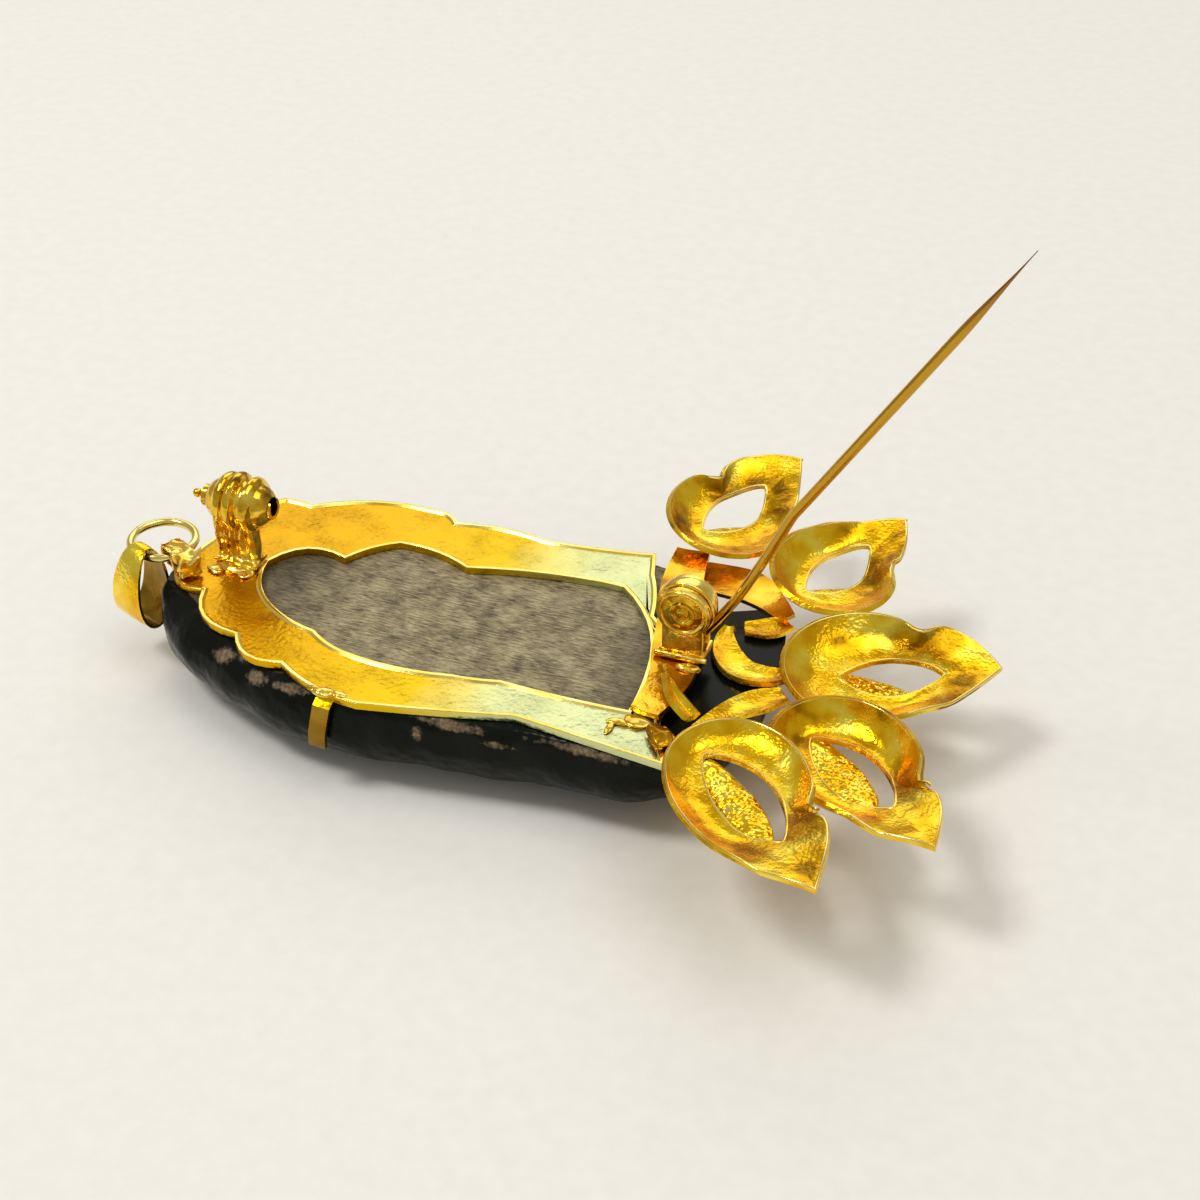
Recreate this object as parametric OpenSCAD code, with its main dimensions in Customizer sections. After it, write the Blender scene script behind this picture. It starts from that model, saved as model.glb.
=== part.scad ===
// A carved jade brooch that is also a pendant, lying on its carved front with its gold back up.
// X runs along the brooch towards the leaves, Y runs across it, Z is up, and the floor is Z = 0.

/* [Stone] */
// Thickness of the stone from the highest carving to its flat back
stone_t = 7.2; // [6.8:0.1:7.6]
// Depth of the steps between the carved sheaths
carving_step = 0.6; // [0.2:0.05:0.8]
// Height of carving that is lapped flat where the brooch rests
lapped = 0.35; // [0.2:0.05:0.5]
// Length of stone that one carved sheath shows
sheath_pitch = 7.4; // [6:0.2:9]

/* [Gold back] */
// Thickness of the sheet that the back frame is cut from
plate_t = 0.6; // [0.5:0.05:0.7]
// Gap between two pieces that are soldered or set against each other
seat_gap = 0.05; // [0.03:0.01:0.1]
// Width of a claw where it leaves the back frame
claw_w = 1.3; // [1.1:0.1:2.2]
// Thickness of a claw
claw_t = 0.4; // [0.3:0.05:0.5]

/* [Hinge and pin] */
// Height of the hinge axis above the floor
hub_z = 12.4; // [12.2:0.1:12.8]
// Radius of the round cheeks of the hinge
cheek_r = 2.0; // [1.8:0.1:2.1]
// Thickness of a cheek
cheek_t = 0.45; // [0.4:0.05:0.6]
// Radius of the rivet
rivet_r = 0.5; // [0.4:0.05:0.6]
// Running clearance around the rivet
hinge_play = 0.04; // [0.02:0.01:0.06]
// Radius of the head that turns on the rivet
head_r = 2.2; // [2.1:0.05:2.3]
// Radius of the pin wire
wire_r = 0.36; // [0.3:0.02:0.36]
// Angle that the pin has swung open from its catch
pin_open = 123; // [0:1:128]

/* [Catch] */
// Length of the round catch along the pin
catch_l = 5.8; // [5.6:0.1:6]
// Largest radius of the round catch, at its raised rings
catch_r = 2.35; // [2.3:0.05:2.4]
// Radius of the turning lock inside the catch
lock_r = 0.85; // [0.8:0.05:0.9]
// Width of the mouth that the pin drops into
mouth_w = 1.0; // [0.95:0.05:1.1]

/* [Leaves] */
// Thickness of the leaf sheet
leaf_t = 0.4; // [0.3:0.05:0.6]
// Height that the rim of a leaf curls up
leaf_curl = 2.0; // [1.4:0.1:2.2]
// Thickness of the stippled heart under a slot
heart_t = 0.45; // [0.3:0.05:0.5]

/* [Ring and bail] */
// Radius of the jump ring to the middle of its wire
ring_r = 2.5; // [2.3:0.1:2.7]
// Radius of the jump ring's wire
ring_wire_r = 0.34; // [0.3:0.02:0.4]
// Length of the bail from its narrow top to its round end
bail_l = 5.2; // [5:0.2:6.4]
// Width of the bail's band at its widest
bail_w = 3.6; // [3:0.2:4]

/* [Hidden] */

// Middle of the whole piece in plan, which the drawing is moved by so that it lies on the origin
plan_mid = [0.195, -3.04];

plate_z = stone_t;
plate_top = plate_z + plate_t;

// Stone in plan: place along X, near edge, far edge, share of the full depth, and how far the
// polished shoulder reaches in from the near edge to the sawn back
STONE_ROWS = [
    // x,    near,   far,  depth, shoulder
    [-28.8,  -9.4,  -5.8, 0.62, 0.9],
    [-28.0, -11.0,  -2.8, 0.74, 2.6],
    [-26.4, -12.4,   1.8, 0.84, 3.0],
    [-24.0, -14.0,   4.2, 0.91, 2.9],
    [-20.0, -15.9,   6.4, 0.97, 2.5],
    [-15.0, -17.4,   7.3, 1.00, 2.0],
    [-10.0, -18.1,   6.6, 1.00, 1.0],
    [ -6.0, -17.7,   6.9, 1.00, 0.7],
    [ -1.0, -17.2,   6.6, 1.00, 1.2],
    [  4.0, -16.4,   7.4, 0.98, 1.2],
    [  7.0, -16.3,   6.9, 0.94, 0.9],
    [  9.0, -16.4,   5.2, 0.90, 0.7],
    [ 11.5, -16.4,   2.6, 0.85, 0.5],
    [ 13.5, -16.1,   3.4, 0.79, 0.3],
    [ 15.5, -15.0,   4.4, 0.71, 0.3],
    [ 17.0, -12.8,   3.6, 0.60, 0.3],
    [ 18.1, -10.0,   1.4, 0.48, 0.3],
    [ 18.6,  -7.0,  -2.0, 0.38, 0.3]];

// Outline of the back frame: corner x, corner y, and how far the edge swells out after it
FRAME_ROWS = [
    // x,    y,  swell
    [-28.2,  -6.8,  0.3],
    [-27.3,  -9.0,  0.2],
    [-24.9,  -9.3,  1.25],
    [-19.9, -13.3,  1.15],
    [-15.1, -15.3,  0.55],
    [ -8.0, -17.6,  0.1],
    [  3.0, -15.0,  0.0],
    [ 14.5, -16.3,  0.0],
    [ 12.6, -11.8,  0.0],
    [ 12.0,  -4.0,  0.0],
    [  8.2,  -0.5,  0.2],
    [  6.5,   4.5,  0.0],
    [  5.7,   7.2, -0.2],
    [ -3.0,   6.0,  0.5],
    [-10.5,   5.8,  0.4],
    [-13.0,   6.9,  0.9],
    [-22.4,   4.1,  0.1],
    [-24.9,   4.2,  0.4],
    [-26.6,   0.4,  0.2]];

// Outline of the window in the back frame, in the same columns
WINDOW_ROWS = [
    // x,    y,  swell
    [ 10.2, -11.6,  0.15],
    [  9.6,  -5.5,  0.8],
    [  4.8,   2.2,  0.5],
    [ -7.3,   0.3,  0.5],
    [-13.5,   1.6,  0.35],
    [-16.6,  -1.8,  1.5],
    [-22.0,  -4.2,  0.55],
    [-19.5,  -8.8,  0.35],
    [-14.6, -10.9,  0.2],
    [-11.5, -12.4,  0.45],
    [ -3.0, -12.2,  0.1],
    [  0.5, -11.6,  0.15]];

// Five leaves: name, root x, y, z, heading, length, width, rise of the axis, roll to the left,
// and how far the point turns to the left and lifts
LEAF_ROWS = [
    // name, x,   y,    z, heading, length, width, pitch, roll, turn, lift
    ["a",  7.5,   7.4, 8.05,  62, 14.5, 10.2, -1, 10,  1.4, 1.9],
    ["b", 16.8,   3.3, 7.5,  57, 14.2, 10.0, -1,  8,  1.9, 1.7],
    ["c", 18.5,  -3.1, 6.9,  13, 16.1, 10.9, -4, 10,  3.0, 0.4],
    ["d", 20.9,  -8.6, 6.8, -32, 16.4, 10.2,  0,  4, -2.1, 2.0],
    ["e", 15.4, -14.7, 8.7, -31, 16.8, 10.0, -2,  7, -3.7, 2.2]];
// How each leaf is cut: its share of the curl, the side of its notch with 1 for left, the place of
// the notch, the half width of the point beyond it, and how full the other side is
CUT_ROWS = [
    // curl, side, place, point, fullness
    [0.75,  1, 0.53, 0.80, 1.5],
    [1.00, -1, 0.64, 0.48, 1.6],
    [0.85,  1, 0.62, 0.78, 2.0],
    [1.15,  1, 0.68, 0.60, 1.5],
    [0.70,  1, 0.66, 0.64, 1.9]];
// The slot of each leaf and the heart under it: start and length of the slot, its width and its
// shift to the left, then the same four of the heart, its depth under the leaf and its slant
SLOT_ROWS = [
    // start, length, width, shift, start, length, width, shift, depth, slant
    [3.2, 7.0, 3.4,  0.5, 2.6,  5.6, 2.6,  0.2, 1.5,  -2.4],
    [3.1, 6.9, 3.4,  0.5, 2.4,  5.6, 2.6,  0.2, 1.5,  -2.4],
    [4.6, 7.2, 3.4, -0.1, 2.4,  8.4, 3.2, -0.2, 1.3,  -2.4],
    [2.4, 8.8, 4.0,  0.3, 1.5,  8.2, 3.1,  0.0, 0.45, -0.3],
    [2.2, 9.6, 4.0,  0.0, 2.4,  8.1, 2.6, -0.4, 0.45,  0.0]];
LEAF_NAME = 0;
LEAF_ROOT = [1, 2, 3];
LEAF_HEADING = 4;
LEAF_LENGTH = 5;
LEAF_WIDTH = 6;
LEAF_PITCH = 7;
LEAF_ROLL = 8;
LEAF_TURN = 9;
LEAF_LIFT = 10;

// Soldered strips: x, y, height of the underside, and width along each one
BRIDGE_ROWS = [
    [ 8.5,   7.9, 7.9, 2.8],
    [ 9.1,   3.4, 7.9, 3.4],
    [10.4,  -0.4, 7.9, 3.8],
    [11.2,  -4.0, 7.9, 3.8],
    [12.0,  -8.0, 7.9, 3.3],
    [11.5, -12.0, 7.9, 2.4]];
UPPER_ROWS = [
    [ 8.6,  5.8, 7.27, 3.6],
    [11.5,  5.9, 7.27, 4.0],
    [13.7,  5.7, 7.27, 4.0],
    [15.9,  4.3, 7.27, 2.6],
    [17.4,  2.9, 7.27, 1.8]];
STUB_ROWS = [
    [14.9, 0.6, 7.27, 1.6],
    [16.6, 1.2, 7.27, 2.4],
    [17.8, 2.4, 7.27, 1.8]];
HOOK_ROWS = [
    [13.8,  0.3, 7.27, 1.2],
    [14.0, -1.3, 7.27, 1.9],
    [14.8, -3.1, 7.27, 2.5],
    [16.2, -4.4, 7.27, 2.6],
    [17.9, -4.5, 7.27, 2.3],
    [19.3, -3.9, 7.27, 1.7]];
LOWER_ROWS = [
    [19.9,  -6.0, 7.27, 1.8],
    [18.3,  -7.4, 7.27, 2.6],
    [16.8,  -9.2, 7.27, 2.2],
    [15.6, -12.0, 7.27, 2.0]];
HORN_ROWS = [
    [11.2,  -7.4, 8.6, 0.4],
    [12.2,  -9.1, 8.6, 1.0],
    [13.4, -10.7, 8.6, 1.6],
    [15.0, -12.2, 8.6, 1.6]];
FOOT_ROWS = [
    [12.6, -13.0, 7.87, 1.6],
    [13.4, -13.9, 7.87, 2.2],
    [14.2, -14.9, 7.87, 2.0]];

// Outline helpers
function right_of(v) = [v[1], -v[0]] / norm(v);
function swell_point(a, b, swell, t) = a + (b - a) * t + right_of(b - a) * (4 * swell * t * (1 - t));
function swell_outline(rows, steps) = [
    for (i = [0 : len(rows) - 1])
        let (row = rows[i], next = rows[(i + 1) % len(rows)])
        for (j = [0 : (abs(row[2]) < 0.01 ? 1 : steps) - 1])
            swell_point([row[0], row[1]], [next[0], next[1]], row[2], j / steps)];

// Smooth curve through the rows of a table, every column treated alike
function between(a, b, c, d, t) =
    (2 * b + (c - a) * t + (2 * a - 5 * b + 4 * c - d) * t * t + (3 * b - a - 3 * c + d) * t * t * t) / 2;
function smooth_rows(rows, steps) = [
    for (i = [0 : len(rows) - 2])
        for (j = [0 : steps - 1])
            between(rows[max(i - 1, 0)], rows[i], rows[i + 1], rows[min(i + 2, len(rows) - 1)], j / steps),
    rows[len(rows) - 1]];
function ease(a, b, x) = let (t = min(1, max(0, (x - a) / (b - a)))) t * t * (3 - 2 * t);

// Faces of a stack of closed rings, with both ends capped
function ring_faces(rings, sides) = concat(
    [for (i = [0 : rings - 2]) for (j = [0 : sides - 1])
        let (k = (j + 1) % sides) [i * sides + j, (i + 1) * sides + j, (i + 1) * sides + k]],
    [for (i = [0 : rings - 2]) for (j = [0 : sides - 1])
        let (k = (j + 1) % sides) [i * sides + j, (i + 1) * sides + k, i * sides + k]],
    [[for (j = [0 : sides - 1]) j]],
    [[for (j = [sides - 1 : -1 : 0]) (rings - 1) * sides + j]]);
// Faces of a stack of closed rings that joins up with itself
function loop_faces(rings, sides) = [
    for (i = [0 : rings - 1]) for (j = [0 : sides - 1]) for (half = [0, 1])
        let (n = (i + 1) % rings, k = (j + 1) % sides)
        half == 0 ? [i * sides + j, n * sides + j, n * sides + k]
                  : [i * sides + j, n * sides + k, i * sides + k]];

// A flat strip of crowned section along smoothed rows of x, y, underside and width
module strip(rows, thickness, steps = 5) {
    path = smooth_rows(rows, steps);
    last = len(path) - 1;
    points = [for (i = [0 : last])
        let (p = path[i],
             run = path[min(i + 1, last)] - path[max(i - 1, 0)],
             side = right_of([run[0], run[1]]),
             half = p[3] / 2)
        for (corner = [[-1, 0], [-0.62, 1], [0.62, 1], [1, 0]])
            [p[0] + side[0] * half * corner[0], p[1] + side[1] * half * corner[0],
             p[2] + thickness * corner[1]]];
    polyhedron(points, ring_faces(last + 1, 4), convexity = 4);
}

// Stone
STONE_SIDES = 24;
stone_len = STONE_ROWS[len(STONE_ROWS) - 1][0] - STONE_ROWS[0][0];
function stone_col(x, col) = lookup(x, [for (row = STONE_ROWS) [row[0], row[col]]]);
// Carved sheaths lap over each other towards the narrow end, each with a curved edge
function sheath(x, y) = let (q = (x - 0.035 * pow(y + 5.2, 2) + 40) / sheath_pitch, f = q - floor(q))
    f < 0.85 ? f / 0.85 : (1 - f) / 0.15;
function stone_point(x, t) = let (
    near = stone_col(x, 1), far = stone_col(x, 2), depth = stone_t * stone_col(x, 3),
    c = -cos(180 * t), s = sin(180 * t),
    y = (near + far) / 2 + (far - near) / 2 * sign(c) * pow(abs(c), 0.9),
    cut = carving_step * sheath(x, y) * ease(0.35, 0.8, s))
    [x, y, max(0, stone_t - (depth + lapped - cut) * pow(s, 0.45))];
// The near shoulder: the edge of the sawn back, and a point half way down the curve
function shoulder_points(x) = let (near = stone_col(x, 1), reach = stone_col(x, 4))
    [[x, near + reach, stone_t], [x, near + 0.4 * reach, stone_t - 0.5]];
SIDE_START = 0.02;
module jade_stone() {
    stations = [for (i = [0 : 44]) STONE_ROWS[0][0] + stone_len * (0.75 * i / 44 + 0.25 * (1 - cos(180 * i / 44)) / 2)];
    points = [for (x = stations) each concat(shoulder_points(x),
        [for (j = [0 : STONE_SIDES]) stone_point(x, max(SIDE_START, j / STONE_SIDES))])];
    color([0.06, 0.07, 0.05]) polyhedron(points, ring_faces(len(stations), STONE_SIDES + 3), convexity = 4);
}

// Gold back frame with its window and the claws that hold the stone
claw_x = -10.5;
claw_root = 1.6;
claw_lean = 7;
module claw() {
    edge = shoulder_points(claw_x);
    side = [for (t = [SIDE_START, 0.035, 0.06]) stone_point(claw_x, t)];
    level = plate_z + seat_gap + 0.05;
    inner = concat([[edge[0][1] + claw_root, level], [edge[0][1], level], [edge[1][1] - 0.2, edge[1][2] + 0.2]],
                   [for (p = side) [p[1] - seat_gap - 0.2, p[2]]]);
    last = len(inner) - 1;
    outer = [for (i = [last : -1 : 0])
        let (run = inner[min(i + 1, last)] - inner[max(i - 1, 0)]) inner[i] + right_of(run) * claw_t];
    translate([claw_x, 0, plate_z]) rotate([0, claw_lean, 0]) translate([0, 0, -plate_z]) rotate([90, 0, 90])
        linear_extrude(claw_w, center = true) polygon(concat(inner, outer));
}
module back_plate() {
    color("gold") {
        claw();
        difference() {
            translate([0, 0, plate_z + seat_gap]) linear_extrude(plate_t - seat_gap)
                polygon(swell_outline(FRAME_ROWS, 6));
            translate([0, 0, plate_z - 1]) linear_extrude(plate_t + 2)
                polygon(swell_outline(WINDOW_ROWS, 6));
        }
    }
}

// Tab with a hole at the narrow end, the jump ring through it and the bail on the ring
ring_mid = [-30.4, -5.45, plate_top + 0.75];
tab_turn = -34;
module tip_tab() {
    tab = [ring_mid[0] + ring_r * cos(tab_turn), ring_mid[1] + ring_r * sin(tab_turn), plate_top + seat_gap];
    color("gold") translate(tab) rotate(tab_turn) difference() {
        translate([-1.1, -0.9, 0]) cube([3.6, 1.8, 1.6]);
        translate([-0.7, -2, 0.25]) cube([1.25, 4, 1.0]);
    }
}
module jump_ring() {
    color("gold") translate(ring_mid) rotate_extrude() translate([ring_r, 0]) circle(ring_wire_r, $fn = 24);
}
BAIL_STEPS = 32;
bail_turn = -100;
bail_t = 0.32;
bail_top_w = 0.9;
bail_down = [-0.06, -0.25, -0.966];
bail_through = [0.93, -0.36, 0];
module bail() {
    hang = [ring_mid[0] + ring_r * cos(bail_turn), ring_mid[1] + ring_r * sin(bail_turn), ring_mid[2]];
    across = cross(bail_down, bail_through);
    points = [for (i = [0 : BAIL_STEPS - 1])
        let (a = 360 * i / BAIL_STEPS,
             share = (1 - cos(a)) / 2,
             wide = bail_top_w + (bail_w - bail_top_w) * pow(share, 0.8),
             flank = sin(a) * (1.15 + 0.35 * share),
             spine = bail_l * share - ring_wire_r - 0.32)
        for (corner = [[1, 0], [1, 1], [-1, 1], [-1, 0]])
            let (out = corner[1] * bail_t)
            hang + bail_down * (spine - out * cos(a)) + across * (flank + out * sin(a))
                 + bail_through * (corner[0] * wide / 2)];
    color("gold") polyhedron(points, loop_faces(BAIL_STEPS, 4), convexity = 6);
}

hub = [12.0, -4.45, hub_z];

// Round catch on its fluted post, and the lock that turns inside it
catch_mid = [-23.6, hub[1], hub_z + 0.6];
module along_x() {
    rotate([0, 90, 0]) children();
}
module catch_body() {
    half = catch_l / 2;
    profile = [[0, -half], [0.9, -half + 0.12], [1.6, -half + 0.55], [2.05, -half + 1.3],
               [catch_r, -half + 1.45], [catch_r, -half + 2.05], [2.1, -half + 2.2],
               [catch_r, -half + 2.35], [catch_r, -half + 2.95], [2.0, -half + 3.15],
               [2.0, -half + 3.6], [catch_r, -half + 3.8], [catch_r, -half + 4.5],
               [1.95, half - 0.5], [1.3, half], [0, half]];
    foot_z = plate_top + seat_gap;
    color("gold") difference() {
        union() {
            translate(catch_mid) along_x() rotate_extrude($fn = 96) polygon(profile);
            for (i = [-1.5 : 1 : 1.5])
                translate([catch_mid[0] - 0.4 + i * 0.85, catch_mid[1] - 0.35, foot_z])
                    cylinder(h = catch_mid[2] - catch_r + 0.8 - foot_z, r1 = 0.55, r2 = 0.72, $fn = 48);
            translate([catch_mid[0] - 2.3, catch_mid[1] - 1.4, foot_z]) cube([3.8, 2.1, 0.4]);
        }
        translate([catch_mid[0] - 4, catch_mid[1], catch_mid[2]]) along_x()
            cylinder(h = 8, r = lock_r + 0.05, $fn = 48);
        translate([catch_mid[0] - 4, catch_mid[1] - mouth_w / 2, catch_mid[2]]) cube([8, mouth_w, 4]);
    }
}
lock_bore_r = lock_r - 0.3;
lock_mouth = 0.9;
module catch_lock() {
    start = catch_mid[0] - catch_l / 2 - 0.1;
    color("gold") translate([start, catch_mid[1], catch_mid[2]]) difference() {
        union() {
            along_x() cylinder(h = catch_l, r = lock_r, $fn = 48);
            translate([-0.6, 0, 0]) along_x() cylinder(h = 0.7, r = 0.15, $fn = 24);
            translate([-0.75, 0, 0]) sphere(0.36, $fn = 32);
        }
        translate([0.4, 0, 0]) along_x() cylinder(h = catch_l, r = lock_bore_r, $fn = 48);
        translate([0.4, -lock_mouth / 2, 0]) cube([catch_l, lock_mouth, 2]);
    }
}

// Hinge on the bridge, its rivet, and the pin that turns on it
cheek_gap = 1.2;
knuckle_z = plate_top + 0.75;
module across_y() {
    rotate([-90, 0, 0]) children();
}
module hinge_knuckle() {
    color("gold") difference() {
        union() {
            translate([hub[0] - 1.7, hub[1] - cheek_gap / 2 - cheek_t, knuckle_z])
                cube([3.4, cheek_gap + 2 * cheek_t, 0.5]);
            for (y = [-cheek_gap / 2 - cheek_t, cheek_gap / 2]) {
                translate([hub[0], hub[1] + y, hub[2]]) across_y() cylinder(h = cheek_t, r = cheek_r, $fn = 64);
                translate([hub[0] - 1.5, hub[1] + y, knuckle_z]) cube([3.0, cheek_t, hub[2] - knuckle_z]);
            }
        }
        translate([hub[0], hub[1] - 4, hub[2]]) across_y() cylinder(h = 8, r = rivet_r + 0.02, $fn = 48);
    }
}
module hinge_rivet() {
    reach = cheek_gap / 2 + cheek_t;
    color("gold") translate(hub) across_y() rotate_extrude($fn = 64)
        polygon([[0, -reach - 0.35], [0.4, -reach - 0.3], [0.6, -reach - 0.15], [0.95, -reach - 0.12],
                 [0.95, -reach - 0.02], [rivet_r, -reach - 0.02], [rivet_r, reach + 0.02],
                 [0.95, reach + 0.02], [0.8, reach + 0.25], [0, reach + 0.35]]);
}
// Wire of the closed pin: place along it and height, both from the rivet's axis
WIRE_ROWS = [
    [  0.8, 2.20],
    [ -2.3, 2.25],
    [ -5.9, 1.90],
    [-11.8, 1.00]];
tip_reach = 37.6;
tip_height = 0.55;
head_t = cheek_gap - 0.2;
WIRE_SIDES = 16;
module wire_bend() {
    path = smooth_rows(WIRE_ROWS, 4);
    last = len(path) - 1;
    points = [for (i = [0 : last])
        let (run = path[min(i + 1, last)] - path[max(i - 1, 0)], out = right_of(run),
             r = i == last ? wire_r * 0.8 : wire_r)
        for (j = [0 : WIRE_SIDES - 1])
            let (a = 360 * j / WIRE_SIDES)
            [path[i][0] + out[0] * r * cos(a), r * sin(a), path[i][1] + out[1] * r * cos(a)]];
    polyhedron(points, ring_faces(last + 1, WIRE_SIDES), convexity = 4);
}
module pin_stem() {
    bend = WIRE_ROWS[len(WIRE_ROWS) - 1];
    run = [-tip_reach, tip_height] - bend;
    straight = norm(run);
    color("gold") translate(hub) rotate([0, pin_open, 0]) {
        difference() {
            translate([0, -head_t / 2, 0]) across_y() cylinder(h = head_t, r = head_r, $fn = 64);
            translate([0, -2, 0]) across_y() cylinder(h = 4, r = rivet_r + hinge_play, $fn = 64);
        }
        wire_bend();
        translate([bend[0], 0, bend[1]]) rotate([0, atan2(run[0], run[1]), 0]) {
            translate([0, 0, -0.4]) cylinder(h = straight * 0.86 + 0.4, r = wire_r, $fn = 48);
            translate([0, 0, straight * 0.86]) cylinder(h = straight * 0.14, r1 = wire_r, r2 = 0.05, $fn = 48);
        }
    }
}

// Soldered strips that carry the leaves
module bridge_strip() {
    color("gold") strip(BRIDGE_ROWS, 0.6);
}
module stem_upper() {
    color("gold") {
        strip(UPPER_ROWS, 0.5);
        strip(STUB_ROWS, 0.55);
    }
}
module stem_hook() {
    color("gold") strip(HOOK_ROWS, 0.7);
}
module stem_lower() {
    color("gold") strip(LOWER_ROWS, 0.6);
}
module tendril_horn() {
    color("gold") strip(HORN_ROWS, 0.9);
}
module tendril_foot() {
    color("gold") strip(FOOT_ROWS, 0.6);
}

// Leaves: a dished sheet around a slot, with a round lobe, a notch on one side and a creased point
LEAF_AROUND = 44;
LEAF_ACROSS = 4;
lobe_mid = 0.37;
notch_reach = 0.1;
point_lead = 0.08;
function leaf_half(s, notched, cut) = let (
    at = cut[2], down = (s - lobe_mid) / (at + notch_reach - lobe_mid),
    lobe = sqrt(max(0, 1 - pow(down, 2))),
    past = max(0, (s - at - point_lead) / (1 - point_lead - at)),
    point = s > at - 0.06 ? cut[3] * (1 - pow(past, 1.9)) : 0)
    s < lobe_mid ? sqrt(max(0, 1 - pow((s - lobe_mid) / lobe_mid, 2)))
    : notched ? max(lobe, point) * (1 - 0.12 * exp(-pow((s - at) / 0.04, 2)))
    : 1 - pow((s - lobe_mid) / (1 - lobe_mid), cut[4]);
function leaf_edge(k, length, width, cut) = let (
    turn = 360 * k / LEAF_AROUND, s = (1 - cos(turn)) / 2, side = sin(turn) < 0 ? -1 : 1)
    [s * length, side * leaf_half(s, side == cut[1], cut) * width / 2];
function slot_edge(k, slot) = let (
    turn = 360 * k / LEAF_AROUND, s = (1 - cos(turn)) / 2, side = sin(turn) < 0 ? -1 : 1)
    [slot[0] + s * slot[1], slot[3] + side * slot[2] / 2 * pow(abs(sin(180 * s)), 0.75)];
function leaf_height(p, v, length, width, lift, curl) = let (
    s = p[0] / length, w = abs(p[1]) / (width / 2))
    curl * pow(v, 2.2) * (1 - ease(0.55, 0.8, s))
    + 0.9 * w * ease(0.55, 0.75, s)
    + 0.3 * pow(1 - v, 3)
    + lift * ease(0.5, 1, s);
function leaf_point(k, i, row, cut, slot, up) = let (
    length = row[LEAF_LENGTH], width = row[LEAF_WIDTH], v = i / LEAF_ACROSS,
    p = slot_edge(k, slot) * (1 - v) + leaf_edge(k, length, width, cut) * v,
    high = leaf_height(p, v, length, width, row[LEAF_LIFT], leaf_curl * cut[0]))
    [p[0], p[1] + row[LEAF_TURN] * pow(p[0] / length, 2), high + up];
module on_leaf(row) {
    translate([for (i = LEAF_ROOT) row[i]]) rotate(row[LEAF_HEADING])
        rotate([row[LEAF_ROLL], -row[LEAF_PITCH], 0]) children();
}
module leaf(row, cut, slot) {
    points = [for (k = [0 : LEAF_AROUND - 1]) each concat(
        [for (i = [0 : LEAF_ACROSS]) leaf_point(k, i, row, cut, slot, 0)],
        [for (i = [LEAF_ACROSS : -1 : 0]) leaf_point(k, i, row, cut, slot, leaf_t)])];
    color("gold") on_leaf(row) polyhedron(points, loop_faces(LEAF_AROUND, 2 * LEAF_ACROSS + 2), convexity = 8);
}
// The stippled heart under the slot, which rises to the leaf at the root
heart_lift = -0.35;
module leaf_heart(row, slot) {
    rows = [for (i = [0 : 9]) let (s = i / 9, x = slot[4] + s * slot[5])
        [x, slot[7] + slot[9] * (s - 0.5) + row[LEAF_TURN] * pow(x / row[LEAF_LENGTH], 2),
         heart_lift - (slot[8] + heart_lift) * ease(0, 0.3, s),
         0.6 + (slot[6] - 0.6) * pow(sin(180 * min(1, s * 0.94 + 0.03)), 0.7)]];
    color("gold") on_leaf(row) strip(rows, heart_t, 1);
}

translate_plan = [-plan_mid[0], -plan_mid[1], 0];
module placed() {
    translate(translate_plan) children();
}
placed() jade_stone();
placed() back_plate();
placed() tip_tab();
placed() jump_ring();
placed() bail();
placed() catch_body();
placed() catch_lock();
placed() hinge_knuckle();
placed() hinge_rivet();
placed() pin_stem();
placed() bridge_strip();
placed() stem_upper();
placed() stem_hook();
placed() stem_lower();
placed() tendril_horn();
placed() tendril_foot();
for (i = [0 : 4]) placed() leaf(LEAF_ROWS[i], CUT_ROWS[i], SLOT_ROWS[i]);
for (i = [0 : 4]) placed() leaf_heart(LEAF_ROWS[i], SLOT_ROWS[i]);
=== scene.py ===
# %% [markdown]
# # A carved jade brooch, seen from its gold back
# The brooch lies on its carved front with its pin swung open. One dark stone and many small pieces
# of gold sheet and wire make it up. This lesson loads the measured solids of the part, models each
# piece of goldwork over them, gives every surface its finish, and lights it softly.

# %% Load the measured part
import math
import bpy
import bmesh
from mathutils import Vector, Matrix, noise


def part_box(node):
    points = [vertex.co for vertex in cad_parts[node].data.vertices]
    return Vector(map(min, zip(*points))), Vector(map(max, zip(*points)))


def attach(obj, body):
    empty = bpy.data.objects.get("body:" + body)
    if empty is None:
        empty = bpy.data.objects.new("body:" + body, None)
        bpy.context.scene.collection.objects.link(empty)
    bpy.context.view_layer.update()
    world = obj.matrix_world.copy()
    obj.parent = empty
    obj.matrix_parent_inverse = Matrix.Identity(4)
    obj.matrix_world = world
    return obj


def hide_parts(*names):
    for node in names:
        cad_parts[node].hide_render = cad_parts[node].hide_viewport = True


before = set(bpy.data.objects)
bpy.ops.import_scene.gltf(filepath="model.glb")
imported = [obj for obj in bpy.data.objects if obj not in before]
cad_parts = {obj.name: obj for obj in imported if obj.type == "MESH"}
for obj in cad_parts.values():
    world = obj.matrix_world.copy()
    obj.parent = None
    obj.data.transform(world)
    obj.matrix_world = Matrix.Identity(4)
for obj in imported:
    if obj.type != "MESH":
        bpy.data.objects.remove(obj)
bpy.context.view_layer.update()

MM = 0.001

# %% [markdown]
# ## Helpers for working by hand in code
# Every operator acts on what is selected, so each step first selects one piece alone. A primitive
# gets its place in its own mesh as soon as it is added, and is then pressed or cut into its form.

# %% Select and shape
def let_go():
    if bpy.context.mode != "OBJECT":
        bpy.ops.object.mode_set(mode="OBJECT")
    bpy.ops.object.select_all(action="DESELECT")


def only(piece, mode="OBJECT"):
    """Select one piece alone, in the mode that the next operator needs."""
    let_go()
    piece.select_set(True)
    bpy.context.view_layer.objects.active = piece
    if mode != "OBJECT":
        bpy.ops.object.mode_set(mode=mode)


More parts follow.
